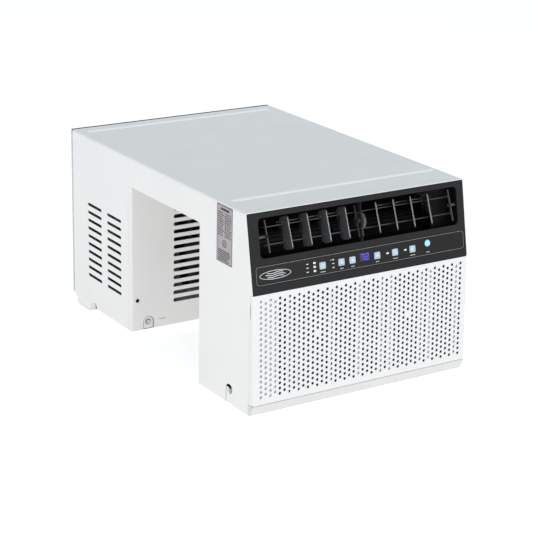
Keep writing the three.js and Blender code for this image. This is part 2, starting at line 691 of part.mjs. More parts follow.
function makeRefrigeration() {
  const evaporatorY = [-336, -310];
  piece("evaporator_coil", coil([-212, 212], evaporatorY, [32, 212], 10), aluminium);
  piece("condenser_coil", coil([-212, 212], [320, 346], [20, 348], 11), aluminium);

  const { x, y, radius } = COMPRESSOR;
  const stand = LEG_FLOOR + SHEET + CLEAR;
  const shell = turned(
    [
      [0, stand + 6],
      [radius + 10, stand + 6],
      [radius + 10, stand + 9],
      [radius, stand + 12],
      [radius, 190],
      [radius - 8, 206],
      [radius - 28, 216],
      [0, 219],
    ],
    x,
    y,
  );
  const feet = [-1, 1].flatMap((sx) =>
    [-1, 1].map((sy) => rod("z", [x + sx * 42, y + sy * 42], 9, [stand, stand + 7], 2)),
  );
  piece("compressor", join(shell, feet), blackSteel);
  const bottle = [
    [0, 60],
    [12, 62],
    [21, 72],
    [21, 158],
    [12, 168],
    [0, 170],
  ];
  piece("accumulator", turned(bottle, x + 82, y - 40, 14), blackSteel);

  const side = 231;
  const evaporatorMiddle = (evaporatorY[0] + evaporatorY[1]) / 2;
  const suction = [
    [212.6, evaporatorMiddle, 203],
    [222, evaporatorMiddle, 203.5],
    [side, evaporatorMiddle + 4, 218],
    [side, evaporatorMiddle + 10, 300],
    [side, -290, 342],
    [side, -200, 350],
    [side, 0, 350],
    [side - 4, 110, 350],
    [170, 160, 348],
    [0, 165, 335],
    [x + 82, y - 40, 280],
    [x + 82, y - 40, 171],
  ];
  piece("suction_pipe", pipe(suction, 4.5, 44), pipeFoam);
  const liquid = [
    [212.6, evaporatorMiddle, 41],
    [224, evaporatorMiddle + 2, 41.5],
    [side, -300, 60],
    [side, -290, 200],
    [side, -270, 310],
    [side, -200, 334],
    [side, 0, 334],
    [side, 120, 330],
    [side, 280, 250],
    [side, 326, 100],
    [side - 1, 332, 50],
    [224, 333, 35.5],
    [212.6, 333, 35],
  ];
  piece("liquid_pipe", pipe(liquid, 3, 40, 6), copper);
  const discharge = [
    [x, y, 220],
    [x, y, 260],
    [x - 20, y + 20, 330],
    [-200, 290, 345],
    [-227, 322, 340],
    [-224, 333, 333.5],
    [-212.6, 333, 333],
  ];
  piece("discharge_pipe", pipe(discharge, 4, 24, 6), copper);
}

// ---- Condenser fan ----
function makeCondenserFan() {
  const { x, z, radius, from, to } = FAN;
  const opening = radius + 5;
  const plate = drawing([
    [-212, 20],
    [212, 20],
    [212, 348],
    [-212, 348],
  ]);
  plate.holes.push(circle(x, z, opening));
  const ring = circle(x, z, opening + 2);
  ring.holes.push(circle(x, z, opening));
  piece(
    "fan_shroud",
    join(prism(plate, "y", [to + 2, to + 4], 16), prism(ring, "y", [to - 14, to + 3], 16)),
    galvanised,
  );

  const hub = rod("y", [x, z], 30, [from + 4, to - 4], 4);
  const blades = count(5).map((i) => {
    const outline = new THREE.Shape();
    outline.moveTo(24, -14);
    outline.quadraticCurveTo(radius * 0.6, -48, radius - 8, -40);
    outline.absarc(0, 0, radius, -0.3, 0.42, false);
    outline.quadraticCurveTo(radius * 0.6, 34, 24, 14);
    const blade = new THREE.ExtrudeGeometry(outline, {
      depth: 2,
      bevelEnabled: false,
      curveSegments: 4,
    });
    blade.translate(0, 0, -1);
    blade.rotateX(THREE.MathUtils.degToRad(16));
    blade.rotateZ((i / 5) * 2 * Math.PI);
    blade.rotateX(Math.PI / 2);
    return solid(blade.translate(x, (from + to) / 2, z));
  });
  const bore = rod("y", [x, z], 5, [from, to - 8], 2);
  piece("condenser_fan", cut(join(hub, blades), bore), darkPlastic);

  const can = rod("y", [x, z], 42, [205, 262], 5);
  const shaft = rod("y", [x, z], 4, [260, to - 10], 2);
  piece("fan_motor", join(can, shaft), galvanised);
  const stand = LEG_FLOOR + SHEET + CLEAR;
  const bracket = drawing([
    [162, stand],
    [235, stand],
    [235, stand + 3],
    [204.7, stand + 3],
    [204.7, 235],
    [201.7, 235],
    [201.7, stand + 3],
    [162, stand + 3],
  ]);
  piece("motor_bracket", prism(bracket, "x", [x - 30, x + 30]), galvanised);
  piece("capacitor", rod("z", [-214, 128], 18, [stand, 150], 4), powerBlue);
}

// ---- Case screws: pan heads in the notches, shanks through the pans ----
function screw(name, place, turn) {
  const head = rod("x", [0, 0], 5, [0, 1.3], 3);
  const shank = rod("x", [0, 0], 2, [-8, 0.5], 2);
  const drive = block([0.7, 2], [-3.5, 3.5], [-0.6, 0.6]);
  const mesh = piece(name, cut(join(head, shank), drive), screwSteel);
  mesh.position.set(...place);
  mesh.rotation.z = turn;
}

function makeScrews() {
  const head = HALF_WIDTH - 1.4;
  for (const [word, side] of [
    ["left", -1],
    ["right", 1],
  ]) {
    const outward = side < 0 ? Math.PI : 0;
    screw(`screw_front_${word}`, [side * head, NOTCH.front, NOTCH.frontZ], outward);
    screw(`screw_rear_${word}`, [side * head, NOTCH.rear, LEG_FLOOR + 4], outward);
    const wallPlace = [side * WALL_SCREW.x, SILL_REAR + 1.4, WALL_SCREW.z];
    screw(`screw_sill_${word}`, wallPlace, -Math.PI / 2);
  }
}

makeCase();
makeSillWall();
makePans();
makeRearGrille();
makeIntake();
makeControlFace();
makeDuct();
makeLouvers();
makeBlower();
makeRefrigeration();
makeCondenserFan();
makeScrews();

export default unit;
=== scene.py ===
# %% [markdown]
# # A saddle air conditioner
# The unit straddles a window sill: a room-side leg with louvres and a keypad, a thin bridge, and an
# outdoor leg full of coils. The frame that moves and carries it all comes ready made, so this lesson
# dresses it: sheet metal is folded, mouldings get rounded edges, and every surface gets a finish.

# %% Load the frame
import json
import math
import random

import bmesh
import bpy
from mathutils import Matrix, Vector, geometry


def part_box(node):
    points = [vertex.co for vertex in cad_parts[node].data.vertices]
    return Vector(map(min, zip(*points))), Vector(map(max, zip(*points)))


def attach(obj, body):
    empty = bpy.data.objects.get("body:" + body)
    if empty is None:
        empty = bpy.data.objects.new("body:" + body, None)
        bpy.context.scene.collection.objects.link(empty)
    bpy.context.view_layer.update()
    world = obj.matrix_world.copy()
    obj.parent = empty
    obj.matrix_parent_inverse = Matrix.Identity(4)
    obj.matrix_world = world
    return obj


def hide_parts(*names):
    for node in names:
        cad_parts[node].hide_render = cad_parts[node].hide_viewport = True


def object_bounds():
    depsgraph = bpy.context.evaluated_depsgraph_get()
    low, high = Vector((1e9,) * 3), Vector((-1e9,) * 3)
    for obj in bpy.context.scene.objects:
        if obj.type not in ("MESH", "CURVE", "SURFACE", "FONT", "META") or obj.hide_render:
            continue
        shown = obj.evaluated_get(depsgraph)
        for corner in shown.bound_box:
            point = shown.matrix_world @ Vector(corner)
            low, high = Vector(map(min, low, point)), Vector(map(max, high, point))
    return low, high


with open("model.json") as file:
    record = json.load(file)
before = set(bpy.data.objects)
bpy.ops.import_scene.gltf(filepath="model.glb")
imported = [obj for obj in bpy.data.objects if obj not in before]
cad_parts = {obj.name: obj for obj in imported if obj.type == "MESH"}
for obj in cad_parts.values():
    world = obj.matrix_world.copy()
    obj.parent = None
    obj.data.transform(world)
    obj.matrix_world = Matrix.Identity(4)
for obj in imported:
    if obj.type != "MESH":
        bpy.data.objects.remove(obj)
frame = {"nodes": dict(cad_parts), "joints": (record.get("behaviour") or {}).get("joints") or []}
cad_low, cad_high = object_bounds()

MM = 0.001
print("frame box in mm:", [round(side / MM, 1) for side in cad_high - cad_low])

# %% [markdown]
# ## Measures
# Everything is placed from the frame's own boxes and joints. The control face leans back, so it gets
# its own set of axes: across, inward and up. A key slides along the inward direction, and a vane
# turns about its own upright, so the joints already know both directions.

# %% Planes to build on
joints = {joint["name"]: joint for joint in frame["joints"]}
HALF = cad_high.x
BEAD_RISE = 1.2 * MM
TOP = cad_high.z - BEAD_RISE
FACE_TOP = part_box("top_cover")[0].y
SHEET = 1.5 * MM
ACROSS = Vector((1, 0, 0))


def plane(origin, u, v):
    """Axes for a flat piece: u to the right, v up, and w towards the viewer."""
    u, v = Vector(u), Vector(v)
    w = u.cross(v)
    axes = Matrix((u, v, w)).transposed().to_4x4()
    axes.translation = Vector(origin)
    return axes


def span(node, axis):
    low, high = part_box(node)
    return low[axis], high[axis]


FACE_IN = Vector(joints["mode_press"]["axis"])
FACE_UP = ACROSS.cross(FACE_IN)
FACE_ORIGIN = Vector((0, FACE_TOP, TOP))
FACE = plane(FACE_ORIGIN, ACROSS, FACE_UP)
TILT_ORIGIN = Vector(joints["louver_tilt_left"]["pos_m"])
TILT_UP = Vector(joints["vane_swing_left_1"]["axis"])
TILT_IN = TILT_UP.cross(ACROSS)
print("face leans", round(math.degrees(math.acos(FACE_UP.z)), 2), "degrees")

# %% [markdown]
# ## Drawing
# A panel starts as a drawing: a list of corners, each with the radius it is rounded to. A slot is a
# box whose corners are rounded to half its height, and a notch is a slot that runs out of the edge.
# One function that rounds corners serves them all.

# %% Outlines with rounded corners
def outline(corners, steps=3):
    """Corners are (u, v, radius); each becomes an arc that touches both of its sides."""
    points = []
    for i, (u, v, radius) in enumerate(corners):
        here = Vector((u, v))
        if radius <= 0:
            points.append(here)
            continue
        before = (Vector(corners[i - 1][:2]) - here).normalized()
        after = (Vector(corners[(i + 1) % len(corners)][:2]) - here).normalized()
        half_angle = before.angle(after) / 2
        centre = here + (before + after).normalized() * (radius / math.sin(half_angle))
        start = here + before * (radius / math.tan(half_angle)) - centre
        end = here + after * (radius / math.tan(half_angle)) - centre
        sweep = start.angle_signed(end)
        for step in range(steps + 1):
            turn = Matrix.Rotation(-sweep * step / steps, 2)
            points.append(centre + turn @ start)
    return tidy(points)


def tidy(points):
    """Drops a point that falls on the one before it."""
    return [p for i, p in enumerate(points) if (p - points[i - 1]).length > 1e-6]


def box_outline(u_span, v_span, radius=0.0, steps=3):
    (u0, u1), (v0, v1) = u_span, v_span
    return outline([(u0, v0, radius), (u1, v0, radius), (u1, v1, radius), (u0, v1, radius)], steps)


def slot_outline(u_span, middle, height, steps=4):
    half = height / 2
    return box_outline(u_span, (middle - half, middle + half), half * 0.999, steps)


def disc_outline(u, v, radius, sides=24):
    turns = [2 * math.pi * i / sides for i in range(sides)]
    return [Vector((u + radius * math.cos(a), v + radius * math.sin(a))) for a in turns]


print("a slot is drawn with", len(slot_outline((0, 60 * MM), 0, 5 * MM)), "points")

# %% [markdown]
# ## Solid shapes
# A plate is its drawing lifted through a few levels. Moving the drawing inwards at the first and last
# levels rounds the edges, which is what catches the light on real sheet metal and mouldings. A turned
# piece, a tube and a thin shell cover the rest. Each function returns points and faces, so that
# several shapes can become one piece.

# %% Plates
def signed_area(loop):
    return sum(a.x * b.y - b.x * a.y for a, b in zip(loop, loop[1:] + loop[:1])) / 2


def inset(loop, distance):
    """Moves each side of a loop to its left by distance."""
    moved = []
    for i, here in enumerate(loop):
        before = (here - loop[i - 1]).normalized()
        after = (loop[(i + 1) % len(loop)] - here).normalized()
        left = Vector((-before.y - after.y, before.x + after.x))
        moved.append(here + left * (distance / max(0.4, 1 + before.dot(after))))
    return moved


def levels(back, front, edge, steps=2):
    """(inset, level) pairs from the back to the front, with both edges rounded."""
    turns = [math.pi / 2 * i / steps for i in range(steps + 1)]
    rear = [(edge * (1 - math.sin(a)), back + edge * (1 - math.cos(a))) for a in turns]
    fore = [(edge * (1 - math.cos(a)), front - edge * (1 - math.sin(a))) for a in turns]
    return rear + fore


def plate(loops, heights, place=Matrix(), cuts=(), bend=None):
    """A solid with the first loop as its outline and the other loops as holes."""
    points, faces, first_rings, last_rings = [], [], [], []
    for number, loop in enumerate(loops):
        if (signed_area(loop) > 0) != (number == 0):
            loop = loop[::-1]
        count = len(loop)
        base = len(points)
        for shift, height in heights:
            points += [Vector((p.x, p.y, height)) for p in inset(loop, shift)]
        for level in range(len(heights) - 1):
            low = base + level * count
            for i in range(count):
                j = (i + 1) % count
                faces.append((low + i, low + j, low + count + j, low + count + i))
        first_rings.append(range(base, base + count))
        last_rings.append(range(len(points) - count, len(points)))
    flat = [[Vector((points[i].x, points[i].y, 0)) for i in ring] for ring in last_rings]
    front = [i for ring in last_rings for i in ring]
    back = [i for ring in first_rings for i in ring]
    for a, b, c in geometry.tessellate_polygon(flat):
        if signed_area([points[front[i]].xy for i in (a, b, c)]) < 0:
            b, c = c, b
        faces.append((front[a], front[b], front[c]))
        faces.append((back[a], back[c], back[b]))
    if bend:
        points, faces = bent(points, faces, cuts, bend)
    return [place @ p for p in points], faces


print("an edge of 1 mm is rounded in", len(levels(0, 3 * MM, 1 * MM)), "levels")


# %% Bending a plate, and a rounded box
def bent(points, faces, cuts, bend):
    """Cuts extra edges across the sheet at the cuts, then moves every point by bend."""
    sheet = bmesh.new()
    corners = [sheet.verts.new(p) for p in points]
    for face in faces:
        sheet.faces.new([corners[i] for i in face])
    for place, normal in cuts:
        everything = sheet.verts[:] + sheet.edges[:] + sheet.faces[:]
        bmesh.ops.bisect_plane(sheet, geom=everything, plane_co=place, plane_no=normal, dist=1e-6)
    sheet.verts.index_update()
    moved = [bend(v.co.copy()) for v in sheet.verts]
    outlines = [tuple(v.index for v in face.verts) for face in sheet.faces]
    sheet.free()
    return moved, outlines


def block(x_span, y_span, z_span, edge=0.4 * MM, place=Matrix(), corner=None):
    """A box whose edges are all rounded."""
    drawing = box_outline(x_span, y_span, corner or edge * 1.01, 3)
    return plate([drawing], levels(z_span[0], z_span[1], edge), place)


print("a rounded box has", len(block((0, MM), (0, MM), (0, MM))[1]), "faces")


# %% Turned pieces
def turned(profile, place, sides=32):
    """Spins a profile of (radius, height) pairs, foot first, about the upright of place."""
    points, faces, rings = [], [], []
    for radius, height in profile:
        if radius == 0:
            rings.append([len(points)] * sides)
            points.append(place @ Vector((0, 0, height)))
            continue
        rings.append(list(range(len(points), len(points) + sides)))
        points += [place @ Vector((p.x, p.y, height)) for p in disc_outline(0, 0, radius, sides)]
    for low, high in zip(rings, rings[1:]):
        for i in range(sides):
            j = (i + 1) % sides
            corners = dict.fromkeys((low[i], low[j], high[j], high[i]))
            if len(corners) > 2:
                faces.append(tuple(corners))
    return points, faces


print("a turned pin has", len(turned([(0, 0), (MM, 0), (MM, MM), (0, MM)], Matrix())[1]), "faces")


# %% Round bars along a path
def tube(path, radius, sides=12):
    """A round bar along a path, with flat ends."""
    path = [Vector(p) for p in path]
    ways = [(b - a).normalized() for a, b in zip(path, path[1:])]
    ways = [ways[0], *[(a + b).normalized() for a, b in zip(ways, ways[1:])], ways[-1]]
    side = ways[0].orthogonal().normalized()
    points, faces = [], []
    for centre, way in zip(path, ways):
        side = (side - way * side.dot(way)).normalized()
        other = way.cross(side)
        points += [centre + side * p.x + other * p.y for p in disc_outline(0, 0, radius, sides)]
    for ring in range(len(path) - 1):
        for i in range(sides):
            j = (i + 1) % sides
            low, high = ring * sides, (ring + 1) * sides
            faces.append((low + i, low + j, high + j, high + i))
    faces.append(tuple(reversed(range(sides))))
    faces.append(tuple(range(len(points) - sides, len(points))))
    return points, faces


print("a straight bar has", len(tube([(0, 0, 0), (0, 0, MM)], MM)[1]), "faces")


# %% Thin shells
def shell(us, vs, surface, thickness):
    """A sheet of even thickness over a grid: surface(u, v) gives its outer side."""
    step = 0.05 * MM
    outer, inner = [], []
    for u in us:
        for v in vs:
            here = surface(u, v)
            out = (surface(u + step, v) - here).cross(surface(u, v + step) - here).normalized()
            outer.append(here)
            inner.append(here - out * thickness)
    wide, total = len(vs), len(outer)
    faces = []
    for i in range(len(us) - 1):
        for j in range(wide - 1):
            a = i * wide + j
            faces.append((a, a + wide, a + wide + 1, a + 1))
            faces.append((total + a, total + a + 1, total + a + wide + 1, total + a + wide))
    rim = [i * wide for i in range(len(us))] + [total - wide + j for j in range(1, wide)]
    rim += [i * wide + wide - 1 for i in reversed(range(len(us) - 1))]
    rim += list(reversed(range(1, wide - 1)))
    for a, b in zip(rim, rim[1:] + rim[:1]):
        faces.append((b, a, total + a, total + b))
    return outer + inner, faces


tile = shell((0, MM), (0, MM), lambda u, v: Vector((u, v, 0)), 0.1 * MM)
print("a one-field shell has", len(tile[1]), "faces")


# %% From shapes to a piece that rides on the frame
def make(name, finish, body, shapes, stands_for=(), smooth=38):
    """One mesh from several shapes: smooth where it curves, crisp at its edges."""
    points, faces = [], []
    for shape_points, shape_faces in shapes:
        base = len(points)
        points += shape_points
        faces += [tuple(base + i for i in face) for face in shape_faces]
    mesh = bpy.data.meshes.new(name)
    mesh.from_pydata(points, [], faces)
    mesh.validate()
    mesh.shade_smooth()
    mesh.set_sharp_from_angle(angle=math.radians(smooth))
    mesh.materials.append(finish)
    obj = bpy.data.objects.new(name, mesh)
    bpy.context.scene.collection.objects.link(obj)
    even = obj.modifiers.new("even_shading", "WEIGHTED_NORMAL")
    even.keep_sharp = True
    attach(obj, body)
    if stands_for:
        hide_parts(*stands_for)
    print(f"{name}: {len(mesh.polygons)} faces")
    return obj


# %% [markdown]
# ## Finishes
# Every finish begins the same way: broad clouds shift the colour a little, smudges change how rough
# it is, and a fine grain lifts the surface. What makes each one itself comes on top of that: zinc
# crystals, fins, woven net. The grain is given in real sizes, so it stays true at any distance.

# %% Helpers for node finishes
def add(tree, kind, **settings):
    node = tree.nodes.new(kind)
    for name, value in settings.items():
        if name in node.inputs:
            node.inputs[name].default_value = value
        else:
            setattr(node, name, value)
    return node


def noise(tree, where, size, detail=3.0):
    """A noise whose patches are about size across, in metres."""
    node = add(tree, "ShaderNodeTexNoise", Scale=1 / size, Detail=detail)
    tree.links.new(where, node.inputs["Vector"])
    return node.outputs["Fac"]


def remap(tree, value, low, high, start=0.3, end=0.7):
    node = add(tree, "ShaderNodeMapRange")
    for socket, number in zip(("From Min", "From Max", "To Min", "To Max"), (start, end, low, high)):
        node.inputs[socket].default_value = number
    tree.links.new(value, node.inputs["Value"])
    return node.outputs["Result"]


def blend_colours(tree, factor, first, second):
    node = add(tree, "ShaderNodeMix", data_type="RGBA")
    tree.links.new(factor, node.inputs["Factor"])
    for socket, colour in zip((node.inputs[6], node.inputs[7]), (first, second)):
        if isinstance(colour, bpy.types.NodeSocket):
            tree.links.new(colour, socket)
        else:
            socket.default_value = (*colour, 1)
    return node.outputs[2]


def stretched(tree, where, scale):
    node = add(tree, "ShaderNodeMapping")
    node.inputs["Scale"].default_value = scale
    tree.links.new(where, node.inputs["Vector"])
    return node.outputs["Vector"]


def raise_surface(tree, shader, height, distance, strength=1.0):
    """Adds a relief to whatever relief the shader already has."""
    node = add(tree, "ShaderNodeBump", Strength=strength, Distance=distance)
    tree.links.new(height, node.inputs["Height"])
    before = shader.inputs["Normal"].links
    if before:
        tree.links.new(before[0].from_socket, node.inputs["Normal"])
    tree.links.new(node.outputs["Normal"], shader.inputs["Normal"])


# %% The shared start of every finish
def base_finish(name, colour, rough, grain, relief, clouds=0.04, metallic=0.0, smudge=0.05):
    """The shared start of every finish; returns what a special finish needs to add to it."""
    material = bpy.data.materials.new(name)
    material.use_nodes = True
    tree = material.node_tree
    shader = tree.nodes["Principled BSDF"]
    shader.inputs["Metallic"].default_value = metallic
    where = add(tree, "ShaderNodeTexCoord").outputs["Object"]
    darker = [c * (1 - clouds) for c in colour]
    lighter = [min(1, c * (1 + clouds)) for c in colour]
    cloud = remap(tree, noise(tree, where, 90 * MM, 4), 0, 1)
    tint = blend_colours(tree, cloud, darker, lighter)
    tree.links.new(tint, shader.inputs["Base Color"])
    smudges = noise(tree, stretched(tree, where, (1, 1, 0.5)), 35 * MM, 5)
    tree.links.new(remap(tree, smudges, rough - smudge, rough + smudge), shader.inputs["Roughness"])
    raise_surface(tree, shader, noise(tree, where, grain, 2), relief)
    return material, tree, shader, where, tint


print("grain is given in mm, in the piece's own Object coordinates")

# %% Painted steel and mouldings
painted, *_ = base_finish("painted", (0.80, 0.79, 0.775), 0.36, 1.6 * MM, 0.03 * MM, clouds=0.012)
white_moulding, *_ = base_finish("white_moulding", (0.78, 0.78, 0.775), 0.45, 0.5 * MM, 0.02 * MM, 0.01)
# A darker copy of the white moulding for the sloping foot strip: painted shade.
foot_moulding_painted_shade, *_ = base_finish("foot_moulding_painted_shade", (0.66, 0.65, 0.64), 0.5, 0.5 * MM, 0.02 * MM, 0.02)
charcoal, _, shader, *_ = base_finish("charcoal", (0.017, 0.017, 0.018), 0.42, 0.5 * MM, 0.02 * MM, 0.06)
shader.inputs["Specular IOR Level"].default_value = 0.14
vane_charcoal, *_ = base_finish("vane_charcoal", (0.062, 0.063, 0.066), 0.3, 0.6 * MM, 0.01 * MM, 0.05)
film, _, shader, *_ = base_finish(
    "film", (0.014, 0.0135, 0.013), 0.3, 3 * MM, 0.004 * MM, 0.05, smudge=0.08
)
shader.inputs["Specular IOR Level"].default_value = 0.16
black_moulding, _, shader, *_ = base_finish(
    "black_moulding", (0.007, 0.007, 0.008), 0.55, 0.6 * MM, 0.02 * MM, 0.1
)
shader.inputs["Specular IOR Level"].default_value = 0.15
black_enamel, _, shader, *_ = base_finish(
    "black_enamel", (0.014, 0.014, 0.015), 0.28, 2.4 * MM, 0.05 * MM, 0.1
)
shader.inputs["Specular IOR Level"].default_value = 0.25
# A light grey for the vanes' front edges: a painted highlight.
vane_edge_highlight, *_ = base_finish("vane_edge_highlight", (0.58, 0.59, 0.61), 0.3, 0.6 * MM, 0.01 * MM, 0.05)
print(len(bpy.data.materials), "finishes so far")

# %% Keys, lamps and prints
key_rubber, *_ = base_finish("key_rubber", (0.46, 0.60, 0.70), 0.5, 0.4 * MM, 0.02 * MM, 0.03)
power_cap, _, shader, *_ = base_finish("power_cap", (0.22, 0.60, 0.86), 0.3, 0.6 * MM, 0.01 * MM, 0.03)
shader.inputs["Emission Color"].default_value = (0.25, 0.65, 0.95, 1)
shader.inputs["Emission Strength"].default_value = 0.35
print_ink, *_ = base_finish("print_ink", (0.78, 0.80, 0.82), 0.5, 0.3 * MM, 0.005 * MM, 0.02)
# A mid grey for the line round the control film: a painted highlight of its edge.
film_edge_highlight, *_ = base_finish("film_edge_highlight", (0.32, 0.33, 0.35), 0.4, 0.3 * MM, 0.005 * MM, 0.04)
lens, *_ = base_finish("lens", (0.012, 0.008, 0.05), 0.12, 4 * MM, 0.002 * MM, 0.05)
digit_glow, _, shader, *_ = base_finish("digit_glow", (0.05, 0.03, 0.55), 0.4, 0.4 * MM, 0.003 * MM, 0.05)
shader.inputs["Emission Color"].default_value = (0.06, 0.03, 0.80, 1)
shader.inputs["Emission Strength"].default_value = 0.75
label_stock, *_ = base_finish("label_stock", (0.37, 0.34, 0.35), 0.5, 0.7 * MM, 0.01 * MM, 0.06)
label_ink, *_ = base_finish("label_ink", (0.02, 0.02, 0.022), 0.55, 0.4 * MM, 0.005 * MM, 0.1)
print(len(bpy.data.materials), "finishes with the keys and prints")


# %% Zinc, fins, copper and the rest
galvanised, tree, shader, where, tint = base_finish(
    "galvanised", (0.52, 0.54, 0.55), 0.38, 1.2 * MM, 0.01 * MM, 0.05, metallic=0.85
)
crystals = add(tree, "ShaderNodeTexVoronoi", Scale=1 / (6 * MM))
tree.links.new(where, crystals.inputs["Vector"])
spangle = remap(tree, crystals.outputs["Color"], 0, 1, 0.1, 0.9)
tree.links.new(
    blend_colours(tree, spangle, (0.46, 0.48, 0.50), (0.57, 0.59, 0.60)), shader.inputs["Base Color"]
)

fin_metal, tree, shader, where, tint = base_finish(
    "fin_metal", (0.66, 0.68, 0.69), 0.36, 1.5 * MM, 0.02 * MM, 0.08, metallic=0.9
)
ripples = add(tree, "ShaderNodeTexWave", Scale=1 / (30 * MM), Distortion=1.5, bands_direction="Z")
tree.links.new(where, ripples.inputs["Vector"])
raise_surface(tree, shader, ripples.outputs["Fac"], 0.1 * MM, 0.6)

copper, tree, shader, where, tint = base_finish(
    "copper", (0.72, 0.36, 0.22), 0.3, 2 * MM, 0.01 * MM, 0.12, metallic=1.0, smudge=0.1
)
tarnish = remap(tree, noise(tree, where, 18 * MM, 6), 0, 1, 0.52, 0.72)
tree.links.new(blend_colours(tree, tarnish, tint, (0.30, 0.15, 0.10)), shader.inputs["Base Color"])

screw_zinc, tree, shader, where, tint = base_finish(
    "screw_zinc", (0.60, 0.61, 0.60), 0.3, 0.5 * MM, 0.01 * MM, 0.08, metallic=0.95
)
net, tree, shader, where, tint = base_finish("net", (0.025, 0.028, 0.03), 0.8, 1 * MM, 0.02 * MM, 0.1)
for direction in ("X", "Z"):
    threads = add(tree, "ShaderNodeTexWave", Scale=1 / (9 * MM), bands_direction=direction)
    tree.links.new(where, threads.inputs["Vector"])
    raise_surface(tree, shader, threads.outputs["Fac"], 0.3 * MM)

board_green, tree, shader, where, tint = base_finish(
    "board_green", (0.02, 0.13, 0.05), 0.3, 0.8 * MM, 0.01 * MM, 0.1
)
tracks = add(tree, "ShaderNodeTexBrick", Scale=1 / (10 * MM), Color1=(0.02, 0.13, 0.05, 1))
tracks.inputs["Color2"].default_value = (0.03, 0.19, 0.07, 1)
tracks.inputs["Mortar"].default_value = (0.10, 0.26, 0.10, 1)
tree.links.new(where, tracks.inputs["Vector"])
tree.links.new(tracks.outputs["Color"], shader.inputs["Base Color"])
can_sleeve, *_ = base_finish("can_sleeve", (0.03, 0.16, 0.28), 0.25, 2 * MM, 0.02 * MM, 0.06)
foam, *_ = base_finish("foam", (0.05, 0.05, 0.052), 0.9, 1.2 * MM, 0.3 * MM, 0.1)
print(len(bpy.data.materials), "finishes in all")

# %% [markdown]
# ## Side panels
# Each side is one pressed sheet in the saddle's outline, with two columns of air slots over the
# compressor, arched notches over the pan screws, and a few locating dimples. It could be cut with
# booleans, but a drawing with holes gives clean rims, so each slot is a loop in the drawing.

# %% Side panel drawing
FOLD = 3 * MM
NOTCHES = [("screw_front_left", 13 * MM), ("screw_rear_left", 10 * MM)]
panel_front = span("intake_grille", 1)[1] + 0.3 * MM
panel_rear = span("left_side_panel", 1)[1]
gap_front = span("front_leg_back_wall", 1)[1]
gap_rear = span("rear_leg_front_wall", 1)[0]
gap_top = span("bridge_plate", 2)[0]
wall_return = span("rear_leg_front_wall", 1)[1] + 0.3 * MM
leg_floor = span("rear_leg_front_wall", 2)[0]
door_top = span("intake_grille", 2)[1]


def face_y(z):
    """How far forward the leaning face is at a height."""
    return FACE_TOP - (TOP - z) * FACE_UP.y / FACE_UP.z


def notch_middle(node, radius):
    """Where a screw sits on the side, and the radius of the arched notch over it."""
    low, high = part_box(node)
    return (low.y + high.y) / 2, (low.z + high.z) / 2, radius


def side_corners():
    top = TOP - FOLD - 0.15 * MM
    nose = door_top + 0.3 * MM
    front_y, front_z, front_r = notch_middle(*NOTCHES[0])
    rear_y, _, rear_r = notch_middle(*NOTCHES[1])
    behind = 1.2 * MM
    foot = 3 * MM
    channel = (284 * MM, 340 * MM)
    return [
        (face_y(top) + behind, top, 0.6 * MM),
        (face_y(nose) + behind, nose, 1 * MM),
        (panel_front, nose, 0.5 * MM),
        (panel_front, 0, 2 * MM),
        (front_y - front_r, 0, 1 * MM),
        (front_y - front_r, front_z + front_r, front_r * 0.999),
        (front_y + front_r, front_z + front_r, front_r * 0.999),
        (front_y + front_r, 0, 1 * MM),
        (gap_front, 0, 2 * MM),
        (gap_front, gap_top, 1.5 * MM),
        (wall_return, gap_top, 1 * MM),
        (wall_return, leg_floor, 1 * MM),
        (rear_y - rear_r, leg_floor, 1 * MM),
        (rear_y - rear_r, leg_floor + rear_r, rear_r * 0.999),
        (rear_y + rear_r, leg_floor + rear_r, rear_r * 0.999),
        (channel[0], foot, 3 * MM),
        (channel[1], foot, 2 * MM),
        (channel[1], leg_floor + 6 * MM, 2 * MM),
        (panel_rear, leg_floor + 6 * MM, 1.5 * MM),
        (panel_rear, top, 0.6 * MM),
    ]


print("side panel drawn with", len(outline(side_corners(), 6)), "points")

# %% Slots and dimples of the side panels
SLOT = 6.2 * MM
SLOT_ROWS = 10
SLOT_PITCH = 16.9 * MM
SLOT_TOP = 233 * MM
SLOT_COLUMNS = [(140.5 * MM, 200.5 * MM), (225 * MM, 285.5 * MM)]
DIMPLE = 3.2 * MM
DIMPLES = [
    (gap_rear - 37 * MM, gap_top + 19.5 * MM),
    (gap_front + 52 * MM, gap_top + 16.5 * MM),
    (gap_front - 8 * MM, gap_top - 45.5 * MM),
    (gap_front - 8 * MM, 65 * MM),
]


def dish(u, v, radius, front, thickness, depth, place, sides=16):
    """A shallow pressed dimple that fills a round hole in a plate."""
    rings = [(1, 0), (0.8, 0.25), (0.55, 0.85), (0.25, 1)]
    outer = [(radius * share, front - depth * sink) for share, sink in rings]
    under = [(radius * share, front - thickness - depth * sink) for share, sink in rings]
    profile = [(0, under[-1][1]), *under[::-1], *outer, (0, outer[-1][1])]
    return turned(profile, place @ Matrix.Translation((u, v, 0)), sides)


label_low, label_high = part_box("rating_label")
label_u = (-label_high.y, -label_low.y)
label_v = (label_low.z, label_high.z)


def label_pocket(place):
    """The loop of a shallow pocket for the rating label, and the sheet at the bottom of it."""
    across, up = [(low - 0.3 * MM, high + 0.3 * MM) for low, high in (label_u, label_v)]
    wider = [(low - 2 * MM, high + 2 * MM) for low, high in (across, up)]
    bottom = plate([box_outline(*wider, 2 * MM)], levels(-SHEET, -0.75 * MM, 0.2 * MM), place)
    return box_outline(across, up, 1.5 * MM), bottom


